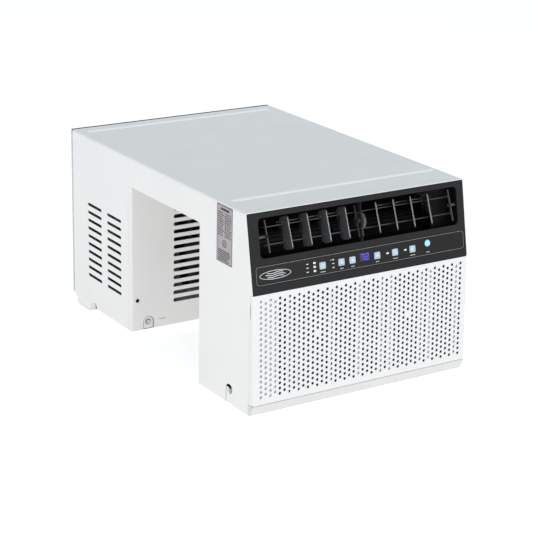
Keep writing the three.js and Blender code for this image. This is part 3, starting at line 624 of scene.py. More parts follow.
def side_panel(side):
    place = plane((side * HALF, 0, 0), (0, side, 0), (0, 0, 1))
    mirror = [(side * y, z, r) for y, z, r in side_corners()]
    loops = [outline(mirror, 6)]
    for row in range(SLOT_ROWS):
        for column in SLOT_COLUMNS:
            ends = sorted(side * y for y in column)
            loops.append(slot_outline(ends, SLOT_TOP - row * SLOT_PITCH, SLOT))
    loops += [disc_outline(side * y, z, DIMPLE, 16) for y, z in DIMPLES]
    shapes = []
    if side < 0:
        pocket, bottom = label_pocket(place)
        loops.append(pocket)
        shapes.append(bottom)
    shapes.append(plate(loops, levels(-SHEET, 0, 0.35 * MM), place))
    for y, z in DIMPLES:
        shapes.append(dish(side * y, z, DIMPLE, 0, SHEET, 0.7 * MM, place))
    return shapes


for word, side in (("left", -1), ("right", 1)):
    make(f"{word}_panel_sheet", painted, "case", side_panel(side), [f"{word}_side_panel"])

# %% [markdown]
# ## Top sheet
# The lid is a single sheet: its long edges are folded down over the sides, so there is no seam to be
# seen from above, only a soft bright fold. Two low beads are pressed across it to stiffen it. It is
# made as a grid, because the beads are a matter of height and a grid can be lifted wherever it likes.

# %% Paint of the lid, with a painted highlight on the beads
lid_paint_with_bead_highlight, tree, shader, where, tint = base_finish(
    "lid_paint_with_bead_highlight", (0.80, 0.80, 0.79), 0.36, 1.6 * MM, 0.03 * MM, clouds=0.012
)
lid_height = add(tree, "ShaderNodeSeparateXYZ")
tree.links.new(where, lid_height.inputs[0])
# Above a set height the beads are painted brighter: a painted highlight for the light their slopes catch.
painted_bead_highlight = remap(tree, lid_height.outputs["Z"], 0, 1, TOP + 0.1 * MM, TOP + 0.5 * MM)
tree.links.new(blend_colours(tree, painted_bead_highlight, tint, (0.98, 0.98, 0.98)), shader.inputs["Base Color"])
print("the paint turns brighter on the beads, above", round(TOP / MM, 1), "mm")

# %% Lid
BEAD_HALF = 7 * MM
BEADS = [
    (-248.5 * MM, -223 * MM, 230 * MM),
    (319 * MM, -223 * MM, 218 * MM),
]
lid_rear = span("top_cover", 1)[1]


def bead_height(x, y):
    """How high the beads lift the sheet, with a soft shoulder and round ends."""
    lift = 0.0
    for middle, left, right in BEADS:
        past_end = max(left + BEAD_HALF - x, 0, x - right + BEAD_HALF)
        away = math.hypot(past_end, y - middle)
        share = min(away / BEAD_HALF, 1)
        step = min((1 - share) / 0.3, 1)
        shoulder = step * step * (3 - 2 * step)
        lift = max(lift, BEAD_RISE * (0.8 * shoulder + 0.2 * (1 - share * share)))
    return lift


FLAT_HALF = HALF - FOLD
FOLD_LENGTH = FOLD * math.pi / 2


def lid_surface(u, v):
    """Across the flat and round the folds; u is measured along the sheet."""
    over = abs(u) - FLAT_HALF
    if over <= 0:
        return Vector((u, v, TOP + bead_height(u, v)))
    turn = min(over / FOLD, math.pi / 2)
    drop = max(over - FOLD_LENGTH, 0)
    x = FLAT_HALF + FOLD * math.sin(turn)
    return Vector((math.copysign(x, u), v, TOP - FOLD + FOLD * math.cos(turn) - drop))


def stations(low, high, places, reach, fine, coarse):
    """Grid lines that crowd together near the given places."""
    lines = {low, high}
    for place in places:
        steps = int(reach / fine)
        lines |= {place + i * fine for i in range(-steps, steps + 1)}
    steps = int((high - low) / coarse)
    lines |= {low + (high - low) * i / steps for i in range(steps + 1)}
    kept = []
    for line in sorted(line for line in lines if low <= line <= high):
        if not kept or line - kept[-1] > fine * 0.4:
            kept.append(line)
    kept[-1] = high
    return kept


bead_ends = [end for _, left, right in BEADS for end in (left + BEAD_HALF / 2, right - BEAD_HALF / 2)]
flat_lines = stations(-FLAT_HALF, FLAT_HALF, bead_ends, 8 * MM, 1 * MM, 40 * MM)
fold_lines = [FLAT_HALF + FOLD_LENGTH * i / 5 for i in range(1, 6)] + [FLAT_HALF + FOLD_LENGTH + 0.6 * MM]
across_lines = [-x for x in reversed(fold_lines)] + flat_lines + fold_lines
along_lines = stations(FACE_TOP, lid_rear, [bead[0] for bead in BEADS], 8 * MM, 0.5 * MM, 60 * MM)
lid = [shell(across_lines, along_lines, lid_surface, 1.2 * MM)]
for side in (-1, 1):
    edges = sorted((side * (HALF - 1.9 * MM), side * (HALF - 3.3 * MM)))
    lid.append(block(edges, (FACE_TOP + 56 * MM, lid_rear - 8 * MM), (TOP - 12 * MM, TOP - 1.3 * MM)))
make("top_sheet", lid_paint_with_bead_highlight, "case", lid, ["top_cover"], smooth=50)

# %% [markdown]
# ## Walls of the sill gap
# The outdoor leg's wall towards the sill is a slotted sheet, folded round both corners. It is drawn
# flat, slots and notches included, and then bent, just as on a folding press. The bend only needs
# a few extra edges along the fold, so the flat sheet is cut there first.

# %% Folding a flat sheet
def folded(edge, radius, angle=math.pi / 2):
    """Bends both ends of a sheet away from the viewer, beyond u = edge."""
    length = radius * angle

    def bend(p):
        past = abs(p.x) - edge
        if past <= 0:
            return p
        turn = min(past / radius, angle)
        run = max(past - length, 0)
        reach = edge + (radius + p.z) * math.sin(turn) + run * math.cos(turn)
        depth = -radius + (radius + p.z) * math.cos(turn) - run * math.sin(turn)
        return Vector((math.copysign(reach, p.x), p.y, depth))

    steps = 5
    lines = [edge + length * i / steps for i in range(steps + 1)]
    cuts = [((side * line, 0, 0), (1, 0, 0)) for line in lines for side in (-1, 1)]
    return cuts, bend


print("a corner folded at 5 mm takes", round(5 * math.pi / 2, 2), "mm of sheet")

# %% Slotted wall
CORNER = 5 * MM
WALL_ROWS = 15
WALL_FIRST = 65 * MM
WALL_PITCH = 16.05 * MM
WALL_SLOT = 8 * MM
WALL_COLUMNS = [(-144 * MM, -12 * MM), (12 * MM, 144 * MM)]
WALL_NOTCH = 12 * MM
wall_bottom, wall_top = span("rear_leg_front_wall", 2)
wall_depth = span("rear_leg_front_wall", 1)[1] - gap_rear
wall_edge = HALF - CORNER
wall_half = wall_edge + CORNER * math.pi / 2 + wall_depth - CORNER
screw_x = sum(span("screw_sill_right", 0)) / 2
screw_z = sum(span("screw_sill_right", 2)) / 2


def wall_corners():
    """The flat wall, with a notch over each screw."""
    arch = screw_z + WALL_NOTCH
    left, right = screw_x - WALL_NOTCH, screw_x + WALL_NOTCH
    bottom = [
        (left, wall_bottom, 1 * MM),
        (left, arch, WALL_NOTCH * 0.999),
        (right, arch, WALL_NOTCH * 0.999),
        (right, wall_bottom, 1 * MM),
        (wall_half, wall_bottom, 1 * MM),
        (wall_half, wall_top, 1 * MM),
    ]
    return bottom + [(-u, v, r) for u, v, r in reversed(bottom)]


wall_place = plane((0, gap_rear, 0), (1, 0, 0), (0, 0, 1))
wall_loops = [outline(wall_corners(), 6)]
for row in range(WALL_ROWS):
    for column in WALL_COLUMNS:
        wall_loops.append(slot_outline(column, WALL_FIRST + row * WALL_PITCH, WALL_SLOT))
PEG_HOLE = (-HALF + 14 * MM, 78 * MM)
wall_loops.append(disc_outline(*PEG_HOLE, 4.2 * MM, 20))
for side in (-1, 1):
    tie_slot = sorted(side * (HALF - reach) for reach in (62 * MM, 78 * MM))
    wall_loops.append(slot_outline(tie_slot, 32 * MM, 4 * MM))
wall_cuts, wall_bend = folded(wall_edge, CORNER)
wall = plate(wall_loops, levels(-SHEET, 0, 0.35 * MM), wall_place, wall_cuts, wall_bend)
peg_rings = [disc_outline(*PEG_HOLE, radius * MM, 24) for radius in (8.2, 4.2)]
peg_rim = plate(peg_rings, levels(-SHEET, 0.9 * MM, 0.6 * MM), wall_place)
make("slotted_wall", painted, "case", [wall, peg_rim], ["rear_leg_front_wall"])

# %% Back of the room-side leg, and the bridge between the legs
leg_wall_top = span("front_leg_back_wall", 2)[1]
inside = span("front_leg_back_wall", 0)[1]
back_place = plane((0, gap_front, 0), (-1, 0, 0), (0, 0, 1))
rib_rows = [60 * MM + i * 62 * MM for i in range(4)]
rib_spans = [(-200 * MM, -20 * MM), (20 * MM, 200 * MM)]
back_loops = [box_outline((-inside, inside), (0, leg_wall_top), 1 * MM)]
back_shapes = []


def pressed_rib(u_span, middle, height, depth, front, place):
    """A long rib sunk into a sheet: a slot that narrows towards its floor."""
    sunk = front - depth
    heights = [(0.3 * height, sunk - SHEET), (0, front - SHEET), (0, front), (0.25 * height, sunk)]
    return plate([slot_outline(u_span, middle, height)], heights, place)


for middle in rib_rows:
    for ends in rib_spans:
        back_loops.append(slot_outline(ends, middle, 14 * MM))
        back_shapes.append(pressed_rib(ends, middle, 14 * MM, 1.4 * MM, 0, back_place))
back_shapes.append(plate(back_loops, levels(-SHEET, 0, 0.3 * MM), back_place))
make("room_leg_back", painted, "case", back_shapes, ["front_leg_back_wall"])

bridge_front, bridge_rear = span("bridge_plate", 1)
bridge_place = plane((0, 0, gap_top), (-1, 0, 0), (0, 1, 0))
bridge_loops = [box_outline((-inside, inside), (bridge_front, bridge_rear), 1 * MM)]
bridge_shapes = []
for middle in [bridge_front + (bridge_rear - bridge_front) * share for share in (0.25, 0.5, 0.75)]:
    bridge_loops.append(slot_outline((-190 * MM, 190 * MM), middle, 14 * MM))
    bridge_shapes.append(pressed_rib((-190 * MM, 190 * MM), middle, 14 * MM, 1.4 * MM, 0, bridge_place))
bridge_shapes.append(plate(bridge_loops, levels(-SHEET, 0, 0.3 * MM), bridge_place))
make("bridge_sheet", painted, "case", bridge_shapes, ["bridge_plate"])

# %% [markdown]
# ## Intake door
# The lower front is a moulded door, drilled all over with small round holes in staggered columns.
# Its sides are rounded and turn back to meet the case. The face is drawn flat with every hole, then
# its two ends are folded back; behind it stand the white ribs that show through some of the holes.

# %% Door face
door_foot = span("intake_grille", 2)[0]
door_front = span("intake_grille", 1)[0]
door_back = span("intake_grille", 1)[1]
face_foot_y = face_y(door_top) - 0.4 * MM
DOOR_LEAN = math.atan2(face_foot_y - door_front, door_top - door_foot)
DOOR_WALL = 1.4 * MM
DOOR_CORNER = 5.5 * MM
HOLE = 2.85 * MM
HOLE_COLUMNS = 45
HOLE_COLUMN_PITCH = 10.14 * MM
HOLE_ROW_PITCH = 10 * MM
HOLE_ROWS = 19
HOLE_LEFT_OUT = [(12, 8), (32, 8)]
door_up = Vector((0, math.sin(DOOR_LEAN), math.cos(DOOR_LEAN)))
door_place = plane((0, door_front, door_foot), ACROSS, door_up)
door_height = (door_top - door_foot) / door_up.z
door_edge = HALF - DOOR_CORNER
fold_run = DOOR_CORNER * math.pi / 2


def door_depth(v):
    """How far back the side has to reach at a height along the door."""
    return (door_back - door_front - v * door_up.y) / door_up.z - DOOR_CORNER


FINGER = (163 * MM, 193 * MM, 2 * MM)
door_right = [
    (door_edge + fold_run + door_depth(0) - 0.3 * MM, 1.2 * MM, 0.8 * MM),
    (door_edge + fold_run + door_depth(FINGER[0]) - 0.3 * MM, FINGER[0], 0.6 * MM),
    (door_edge + fold_run + door_depth(FINGER[0]) - FINGER[2], FINGER[0] + 2 * MM, 1 * MM),
    (door_edge + fold_run + door_depth(FINGER[1]) - FINGER[2], FINGER[1] - 2 * MM, 1 * MM),
    (door_edge + fold_run + door_depth(FINGER[1]) - 0.3 * MM, FINGER[1], 0.6 * MM),
    (door_edge + fold_run + door_depth(door_height) - 0.3 * MM, door_height - 0.3 * MM, 0.6 * MM),
]
door_outline = outline(door_right + [(-u, v, r) for u, v, r in reversed(door_right)], 3)


def door_holes():
    """Staggered columns: every other one is half a step lower and a hole shorter."""
    middle = (HOLE_COLUMNS - 1) / 2
    top_row = door_height - 11.9 * MM
    for column in range(HOLE_COLUMNS):
        short = column % 2
        for row in range(HOLE_ROWS - short):
            if (column, row) not in HOLE_LEFT_OUT:
                v = top_row - (row + short / 2) * HOLE_ROW_PITCH
                yield (column - middle) * HOLE_COLUMN_PITCH, v


holes = [disc_outline(u, v, HOLE, 12) for u, v in door_holes()]
door_cuts, door_bend = folded(door_edge, DOOR_CORNER)
hole_levels = [(0.0, -DOOR_WALL), (0.0, -0.3 * MM), (0.08 * MM, -0.08 * MM), (0.3 * MM, 0.0)]
door_face = plate([door_outline, *holes], hole_levels, door_place, door_cuts, door_bend)
print(len(holes), "holes in the door")

# %% Door flanges and the ribs behind the holes
door_inner = HALF - DOOR_WALL - 0.2 * MM
RIBS = [
    (-HALF + 4 * MM, -HALF + 52 * MM),
    (-164.5 * MM, -161 * MM),
    (-145 * MM, -141.5 * MM),
    (-76 * MM, -69.5 * MM),
    (-54 * MM, -51 * MM),
    (-11 * MM, -0.5 * MM),
    (39 * MM, 43 * MM),
    (58.5 * MM, 64.5 * MM),
    (131 * MM, 134 * MM),
    (149 * MM, 156 * MM),
    (210 * MM, 216.5 * MM),
]
RIB_FRONT = DOOR_WALL + 1.6 * MM
CROSS_RIBS = [door_height - 75 * MM, door_height - 136 * MM]
door_shapes = [door_face]
for v, depth in (
    (1.6 * MM, door_depth(0) + 5 * MM), (door_height - 1.6 * MM, door_depth(door_height) + 5 * MM)
):
    flange = ((-door_inner, door_inner), (v - 1.3 * MM, v + 1.3 * MM), (-depth, -DOOR_WALL * 0.6))
    door_shapes.append(block(*flange, 0.5 * MM, door_place))
for u_span in RIBS:
    rib = (u_span, (3 * MM, door_height - 3 * MM), (-RIB_FRONT - 1.6 * MM, -RIB_FRONT))
    door_shapes.append(block(*rib, 0.3 * MM, door_place))
for v in CROSS_RIBS:
    rib = ((-door_inner, door_inner), (v - 1.1 * MM, v + 1.1 * MM), (-RIB_FRONT - 1.6 * MM, -RIB_FRONT))
    door_shapes.append(block(*rib, 0.3 * MM, door_place))
make(
    "intake_door_moulding",
    white_moulding,
    "intake_door",
    door_shapes,
    ["intake_grille"],
    30,
)

# %% [markdown]
# ## Foot strip and housing
# Below the door the moulding slopes back to the floor, and behind the door it is a ring that the
# door closes on. The strip is a drawn section pushed out across the unit, with its long edges
# rounded so that the break between the two slopes catches the light.

# %% Housing
strip_top = door_foot - 0.3 * MM
housing_front = span("front_housing", 1)[0]
ring_front = door_back + 0.4 * MM
ring_back = ring_front + 3 * MM
strip_place = plane((0, 0, 0), (0, 1, 0), (0, 0, 1))
strip_section = outline(
    [
        (housing_front, strip_top, 0.8 * MM),
        (housing_front + 12 * MM, 0, 2.5 * MM),
        (ring_front + 1 * MM, 0, 0.4 * MM),
        (ring_front + 1 * MM, strip_top, 0.4 * MM),
    ],
    4,
)
strip = plate([strip_section], levels(-HALF, HALF, 1.2 * MM, 3), strip_place)
ring_place = plane((0, ring_front, 0), ACROSS, (0, 0, 1))
ring_loops = [
    box_outline((-inside, inside), (0.5 * MM, door_top - 3 * MM), 3 * MM),
    box_outline((-220 * MM, 220 * MM), (32 * MM, 216 * MM), 6 * MM),
]
ring = plate(ring_loops, levels(ring_front - ring_back, 0, 0.5 * MM), ring_place)
cheeks = [
    block(
        sorted((side * inside, side * (inside - 2 * MM))),
        (ring_back - 1 * MM, ring_back + 30 * MM),
        (40 * MM, 216 * MM),
    )
    for side in (-1, 1)
]
make("front_moulding", white_moulding, "case", [ring, *cheeks], ["front_housing"], 30)
# The foot strip's darker colour is painted shade.
make("foot_strip", foot_moulding_painted_shade, "case", [strip])

# %% Air filter
filter_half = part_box("air_filter")[1].x
FILTER_DEPTH = (4.6 * MM, 8 * MM)
filter_loops = [box_outline((-filter_half, filter_half), (6 * MM, 200 * MM), 4 * MM)]
for column in (-1, 0, 1):
    for row in (0, 1):
        middle_u, low_v = column * 150 * MM, 12 * MM + row * 95 * MM
        filter_loops.append(
            box_outline((middle_u - 70 * MM, middle_u + 70 * MM), (low_v, low_v + 88 * MM), 3 * MM)
        )
filter_frame = plate(filter_loops, levels(-FILTER_DEPTH[1], -FILTER_DEPTH[0], 0.5 * MM), door_place)
net_span = (-filter_half + 4 * MM, filter_half - 4 * MM)
filter_net = block(net_span, (9 * MM, 197 * MM), (-6.6 * MM, -6 * MM), 0.2 * MM, door_place)
make("filter_screen", net, "intake_door", [filter_frame, filter_net], ["air_filter"])

# %% [markdown]
# ## Control face
# Above the door a charcoal moulding leans back. It holds the outlet, a recess for the control film,
# and the pivot of the louvres. It is built in layers that lie on one another: a front layer with
# rounded edges, a backing with the key holes, and a rim that goes back into the case.

# %% Bezel
bezel_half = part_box("front_bezel")[1].x
face_length = (TOP - door_top + 1.1 * MM) / FACE_UP.z
bezel_v = (0.4 * MM - face_length, -1.9 * MM)
OUTLET = ((-217 * MM, 222 * MM), (-84 * MM, -12 * MM))
OVERLAY = ((-230 * MM, 233 * MM), (-131.6 * MM, -96.6 * MM))
LAYER = 1.5 * MM
bezel_loop = box_outline((-bezel_half, bezel_half), bezel_v, 5 * MM, 6)
outlet_loop = box_outline(*OUTLET, 8.5 * MM, 6)
recess = [(low - 0.3 * MM, high + 0.3 * MM) for low, high in OVERLAY]
overlay_hole = box_outline(*recess, 6.3 * MM, 5)


def key_box(name):
    """A key's middle and half sizes on the control face."""
    low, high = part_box(f"{name}_key")
    middle = FACE.inverted() @ ((low + high) / 2)
    return middle.x, (high.x - low.x) / 2


KEY_NAMES = ["mode", "fan", "up", "down", "timer", "sleep"]
KEY_V = -114.7 * MM
KEY_HALF_V = 6.75 * MM
key_places = {name: key_box(name) for name in KEY_NAMES}
power_low, power_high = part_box("power_button")
power_u, power_v = (FACE.inverted() @ ((power_low + power_high) / 2)).xy
power_radius = (power_high.x - power_low.x) / 2
display_low, display_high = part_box("display_window")
display_u = (display_low.x - 0.3 * MM, display_high.x + 0.3 * MM)
display_v = (-121 * MM, -105 * MM)


def control_holes(grow):
    """The windows for the keys, the power button and the display."""
    loops = []
    for u, half in key_places.values():
        ends = (u - half - grow, u + half + grow)
        loops.append(box_outline(ends, (KEY_V - KEY_HALF_V - grow, KEY_V + KEY_HALF_V + grow), 1.2 * MM))
    loops.append(disc_outline(power_u, power_v, power_radius + grow, 24))
    loops.append(box_outline(display_u, display_v, 1 * MM))
    return loops


front_layer = plate([bezel_loop, outlet_loop, overlay_hole], levels(-LAYER, 0, 0.7 * MM, 3), FACE)
backing = plate(
    [inset(bezel_loop, 0.5 * MM), outlet_loop, *control_holes(0.2 * MM)],
    levels(-3 * MM, -LAYER, 0.2 * MM),
    FACE,
)
rim = plate([bezel_loop, inset(bezel_loop, 2.5 * MM)], levels(-14 * MM, -0.75 * MM, 0.5 * MM), FACE)
print("bezel holes:", len(control_holes(0)))

# %% Louvre pivot in the middle of the outlet
side_face = plane(FACE_ORIGIN, FACE_IN, FACE_UP)
pivot_v = (FACE.inverted() @ TILT_ORIGIN).y
pivot_depth = -(FACE.inverted() @ TILT_ORIGIN).z
rib_section = box_outline((1.2 * MM, 12 * MM), (OUTLET[1][0] - 1 * MM, OUTLET[1][1] + 1 * MM), 1 * MM)
mid_rib = plate([rib_section], levels(1.9 * MM, 3.9 * MM, 0.5 * MM), side_face)
HUB = 16 * MM
hub_loop = disc_outline(pivot_depth, pivot_v, HUB, 40)
hub_ring = plate(
    [hub_loop, disc_outline(pivot_depth, pivot_v, HUB - 2 * MM, 40)],
    levels(1.7 * MM, 7.2 * MM, 0.6 * MM, 3),
    side_face,
)
hub_web = plate(
    [disc_outline(pivot_depth, pivot_v, HUB - 1.5 * MM, 40)],
    levels(2.4 * MM, 6 * MM, 0.3 * MM),
    side_face,
)
hub_boss = plate(
    [disc_outline(pivot_depth, pivot_v, 5 * MM, 20)], levels(1.7 * MM, 7.2 * MM, 0.4 * MM), side_face
)
make("louvre_hub", vane_charcoal, "case", [hub_ring, hub_web, hub_boss])
bezel_shapes = [front_layer, backing, rim, mid_rib]
make("control_face", charcoal, "case", bezel_shapes, ["front_bezel"])

# %% [markdown]
# ## Control film, keys and display
# A thin dark film lies in the recess. Keys stand just proud of it through its windows, each a small
# rubber pad with a crowned top and a raised white sign. The captions and lamps are printed on the
# film, so they are made as prints a few hundredths of a millimetre proud rather than painted by a texture.

# %% Film
FILM_FRONT = -0.2 * MM
film_loops = [box_outline(*OVERLAY, 6 * MM, 5), *control_holes(0.15 * MM)]
film_plate = plate(film_loops, levels(-1.3 * MM, FILM_FRONT, 0.2 * MM), FACE)
make("control_film", film, "case", [film_plate], ["control_overlay"])
# The grey line just inside the film's edge is a painted highlight of the recess edge.
border = box_outline(
    [OVERLAY[0][0] + 0.9 * MM, OVERLAY[0][1] - 0.9 * MM],
    [OVERLAY[1][0] + 0.9 * MM, OVERLAY[1][1] - 0.9 * MM],
    5.2 * MM,
    5,
)
highlight_line_plate = plate(
    [border, inset(border, 0.5 * MM)], [(0, FILM_FRONT - 0.1 * MM), (0, FILM_FRONT + 0.05 * MM)], FACE
)
make("film_highlight_line", film_edge_highlight, "case", [highlight_line_plate])

# %% Signs and prints
PRINT = [(0, FILM_FRONT - 0.1 * MM), (0, FILM_FRONT + 0.06 * MM)]


def dash(u, v, width, height):
    half_u, half_v = width / 2, height / 2
    loop = box_outline((u - half_u, u + half_u), (v - half_v, v + half_v), min(half_u, half_v) * 0.5, 2)
    return plate([loop], PRINT, FACE)


prints = []
for name, (u, half) in key_places.items():
    words = 3 if name in ("mode", "timer", "sleep") else 2
    width = 3.1 * MM
    for i in range(words):
        prints.append(
            dash(u + (i - (words - 1) / 2) * (width + 0.7 * MM), KEY_V - 11.4 * MM, width, 1.1 * MM)
        )
prints.append(dash(power_u - 1.9 * MM, power_v - 16.6 * MM, 3.2 * MM, 1.1 * MM))
prints.append(dash(power_u + 1.9 * MM, power_v - 16.6 * MM, 3.2 * MM, 1.1 * MM))
LAMP_ROWS = [KEY_V + 7.2 * MM, KEY_V + 0.2 * MM, KEY_V - 7.2 * MM]
for v in LAMP_ROWS:
    prints.append(dash(-121.6 * MM, v, 4.6 * MM, 1.5 * MM))
    prints.append(dash(-106.2 * MM, v, 5.4 * MM, 3.6 * MM))
    prints.append(dash(-66 * MM, v, 4.4 * MM, 1.6 * MM))
prints.append(dash(-71 * MM, LAMP_ROWS[0], 2.6 * MM, 0.9 * MM))
for u in (55 * MM, 95.6 * MM):
    prints.append(dash(u, KEY_V + 0.6 * MM, 5.6 * MM, 3 * MM))
BADGE_U, BADGE_V = -189.5 * MM, KEY_V
badge_half = (33 * MM, 8 * MM)


def oval(half_u, half_v):
    turns = [2 * math.pi * i / 48 for i in range(48)]
    return [Vector((BADGE_U + half_u * math.cos(a), BADGE_V + half_v * math.sin(a))) for a in turns]


prints.append(
    plate([oval(*badge_half), oval(badge_half[0] - 1 * MM, badge_half[1] - 0.9 * MM)], PRINT, FACE)
)
for row in (-1, 0, 1):
    reach = (21 - 4 * abs(row)) * MM
    us = [BADGE_U - reach + 2 * reach * i / 24 for i in range(25)]
    wave = [BADGE_V + row * 3.6 * MM + 1.1 * MM * math.sin((u - BADGE_U) / (5.2 * MM)) for u in us]
    upper = [Vector((u, v + 0.55 * MM)) for u, v in zip(us, wave)]
    lower = [Vector((u, v - 0.55 * MM)) for u, v in zip(us, wave)]
    prints.append(plate([upper + lower[::-1]], PRINT, FACE))
make("film_prints", print_ink, "case", prints)

# %% Keys
KEY_LEVELS = [
    (0.0, -5 * MM), (0.0, -0.2 * MM), (0.25 * MM, 0.2 * MM), (0.8 * MM, 0.42 * MM), (2.4 * MM, 0.5 * MM)
]
SIGN = [(0, 0.3 * MM), (0, 0.56 * MM), (0.15 * MM, 0.6 * MM)]


def sign_loops(name, u):
    """A plain sign for each key."""
    v, r = KEY_V, 3 * MM
    if name == "up":
        return [[Vector((u - r, v - r * 0.7)), Vector((u + r, v - r * 0.7)), Vector((u, v + r * 0.9))]]
    if name == "down":
        return [[Vector((u - r, v + r * 0.7)), Vector((u, v - r * 0.9)), Vector((u + r, v + r * 0.7))]]
    if name == "timer":
        return [disc_outline(u, v, r, 20), disc_outline(u, v, r - 0.9 * MM, 20)]
    if name == "sleep":
        moon = disc_outline(u, v, r, 24)
        return [[p if p.x < u + 0.4 * r else Vector((u + 0.8 * r - p.x + u, p.y)) for p in moon]]
    if name == "fan":
        star = [
            Vector((u, v)) + Matrix.Rotation(2 * math.pi * i / 24, 2) @ Vector(
                (r * (0.72 + 0.28 * math.cos(3 * i * math.pi / 6)), 0)
            )
            for i in range(24)
        ]
        return [star, disc_outline(u, v, 0.8 * MM, 10)]
    return [
        box_outline((u - r, u + r), (v - r * 0.8, v + r * 0.8), 0.8 * MM),
        box_outline(
            (u - r + 0.9 * MM, u + r - 0.9 * MM),
            (v - r * 0.8 + 0.9 * MM, v + r * 0.8 - 0.9 * MM),
            0.4 * MM,
        ),
    ]


for name, (u, half) in key_places.items():
    pad = box_outline(
        (u - half, u + half), (KEY_V - KEY_HALF_V + 0.3 * MM, KEY_V + KEY_HALF_V - 0.3 * MM), 1.6 * MM, 4
    )
    pad_piece = plate([pad], KEY_LEVELS, FACE)
    make(f"{name}_pad", key_rubber, name, [pad_piece], [f"{name}_key"], smooth=50)
    make(f"{name}_sign", print_ink, name, [plate(sign_loops(name, u), SIGN, FACE)])

# %% Power button
button_place = FACE @ Matrix.Translation((power_u, power_v, 0))
r = power_radius
button = turned(
    [
        (0, -5 * MM),
        (r, -5 * MM),
        (r, 0),
        (r * 0.95, 0.45 * MM),
        (r * 0.8, 0.72 * MM),
        (r * 0.62, 0.66 * MM),
        (r * 0.3, 0.55 * MM),
        (0, 0.52 * MM),
    ],
    button_place,
    36,
)
make("power_pad", power_cap, "power", [button], ["power_button"], smooth=60)
gap = math.radians(35)
ticks = [math.pi / 2 + gap + (2 * math.pi - 2 * gap) * i / 20 for i in range(21)]
ring_out = [Vector((power_u + 2.6 * MM * math.cos(a), power_v + 2.6 * MM * math.sin(a))) for a in ticks]
ring_in = [
    Vector((power_u + 1.9 * MM * math.cos(a), power_v + 1.9 * MM * math.sin(a))) for a in reversed(ticks)
]
sign_heights = [(0, 0.4 * MM), (0, 0.76 * MM)]
stem = box_outline(
    (power_u - 0.35 * MM, power_u + 0.35 * MM), (power_v + 0.3 * MM, power_v + 3 * MM), 0.2 * MM
)
make(
    "power_sign",
    print_ink,
    "power",
    [plate([ring_out + ring_in], sign_heights, FACE), plate([stem], sign_heights, FACE)],
)

# %% Display lens
lens_loop = box_outline(
    (display_u[0] + 0.3 * MM, display_u[1] - 0.3 * MM),
    (display_v[0] + 0.3 * MM, display_v[1] - 0.3 * MM),
    0.8 * MM,
)
make(
    "display_lens",
    lens,
    "case",
    [plate([lens_loop], levels(-5 * MM, -0.45 * MM, 0.15 * MM), FACE)],
    ["display_window"],
)

# %% Digits
SEGMENTS = {"7": "abc", "2": "abged"}
DIGIT = (6.4 * MM, 11 * MM, 1.7 * MM)


def segment(letter, u, v):
    """One bar of a seven-bar digit whose middle is at u, v."""
    wide, high, thick = DIGIT
    rows = {"a": high / 2, "g": 0, "d": -high / 2}
    if letter in rows:
        return box_outline(
            (u - wide / 2, u + wide / 2),
            (v + rows[letter] - thick / 2, v + rows[letter] + thick / 2),
            0.5 * MM,
        )
    side = 1 if letter in "bc" else -1
    end = 1 if letter in "bf" else -1
    ends = sorted((v, v + end * high / 2))
    return box_outline((u + side * wide / 2 - thick / 2, u + side * wide / 2 + thick / 2), ends, 0.5 * MM)


digit_shapes = []
middle_u, middle_v = sum(display_u) / 2, sum(display_v) / 2
for digit, offset in (("7", -5.2 * MM), ("2", 5.2 * MM)):
    for letter in SEGMENTS[digit]:
        loop = segment(letter, middle_u + offset, middle_v)
        digit_shapes.append(plate([loop], [(0, -0.6 * MM), (0, -0.35 * MM)], FACE))
make("display_digits", digit_glow, "case", digit_shapes)

# %% [markdown]
# ## Louvres
# Behind the outlet two frames tilt up and down, and each carries four vanes that swing from side to
# side. A frame is two narrow uprights joined by two thin bars. A vane has round corners and small notches
# where it clears the bars, and a link bar behind keeps the four of them parallel.

# %% Louvre frames
tilt_side = plane(TILT_ORIGIN, TILT_IN, TILT_UP)
BLADE = (-8 * MM, 16 * MM, 30 * MM)
BARS = [16.5 * MM, -15 * MM]
AXIS_DEPTH = 10 * MM
FRAME_ENDS = {"left": (-200 * MM, 0.2 * MM), "right": (206.5 * MM, 8.8 * MM)}
UPRIGHTS = [(-8 * MM, -4 * MM), (3 * MM, 7 * MM)]


def blade_outline():
    """A vane around its own axis: small round corners in front, large ones behind."""
    front, back, half = BLADE
    front, back = front - AXIS_DEPTH, back - AXIS_DEPTH
    front_r, back_r = 2.5 * MM, 9 * MM
    corners = [
        (front, -half, front_r), (back, -half, back_r), (back, half, back_r), (front, half, front_r)
    ]
    return outline(corners, 5)


def upright_outline(front, back):
    """A narrow upright with two arms, one back to each bar."""
    half = BLADE[2]
    arm_end = AXIS_DEPTH + 1.5 * MM
    corners = [(front, -half, 1.5 * MM), (back, -half, 1.5 * MM)]
    for z in reversed(BARS):
        corners += [
            (back, z - 1.5 * MM, 0.5 * MM),
            (arm_end, z - 1.5 * MM, 0.8 * MM),
            (arm_end, z + 1.5 * MM, 0.8 * MM),
            (back, z + 1.5 * MM, 0.5 * MM),
        ]
    return outline([*corners, (back, half, 1.5 * MM), (front, half, 1.5 * MM)], 4)


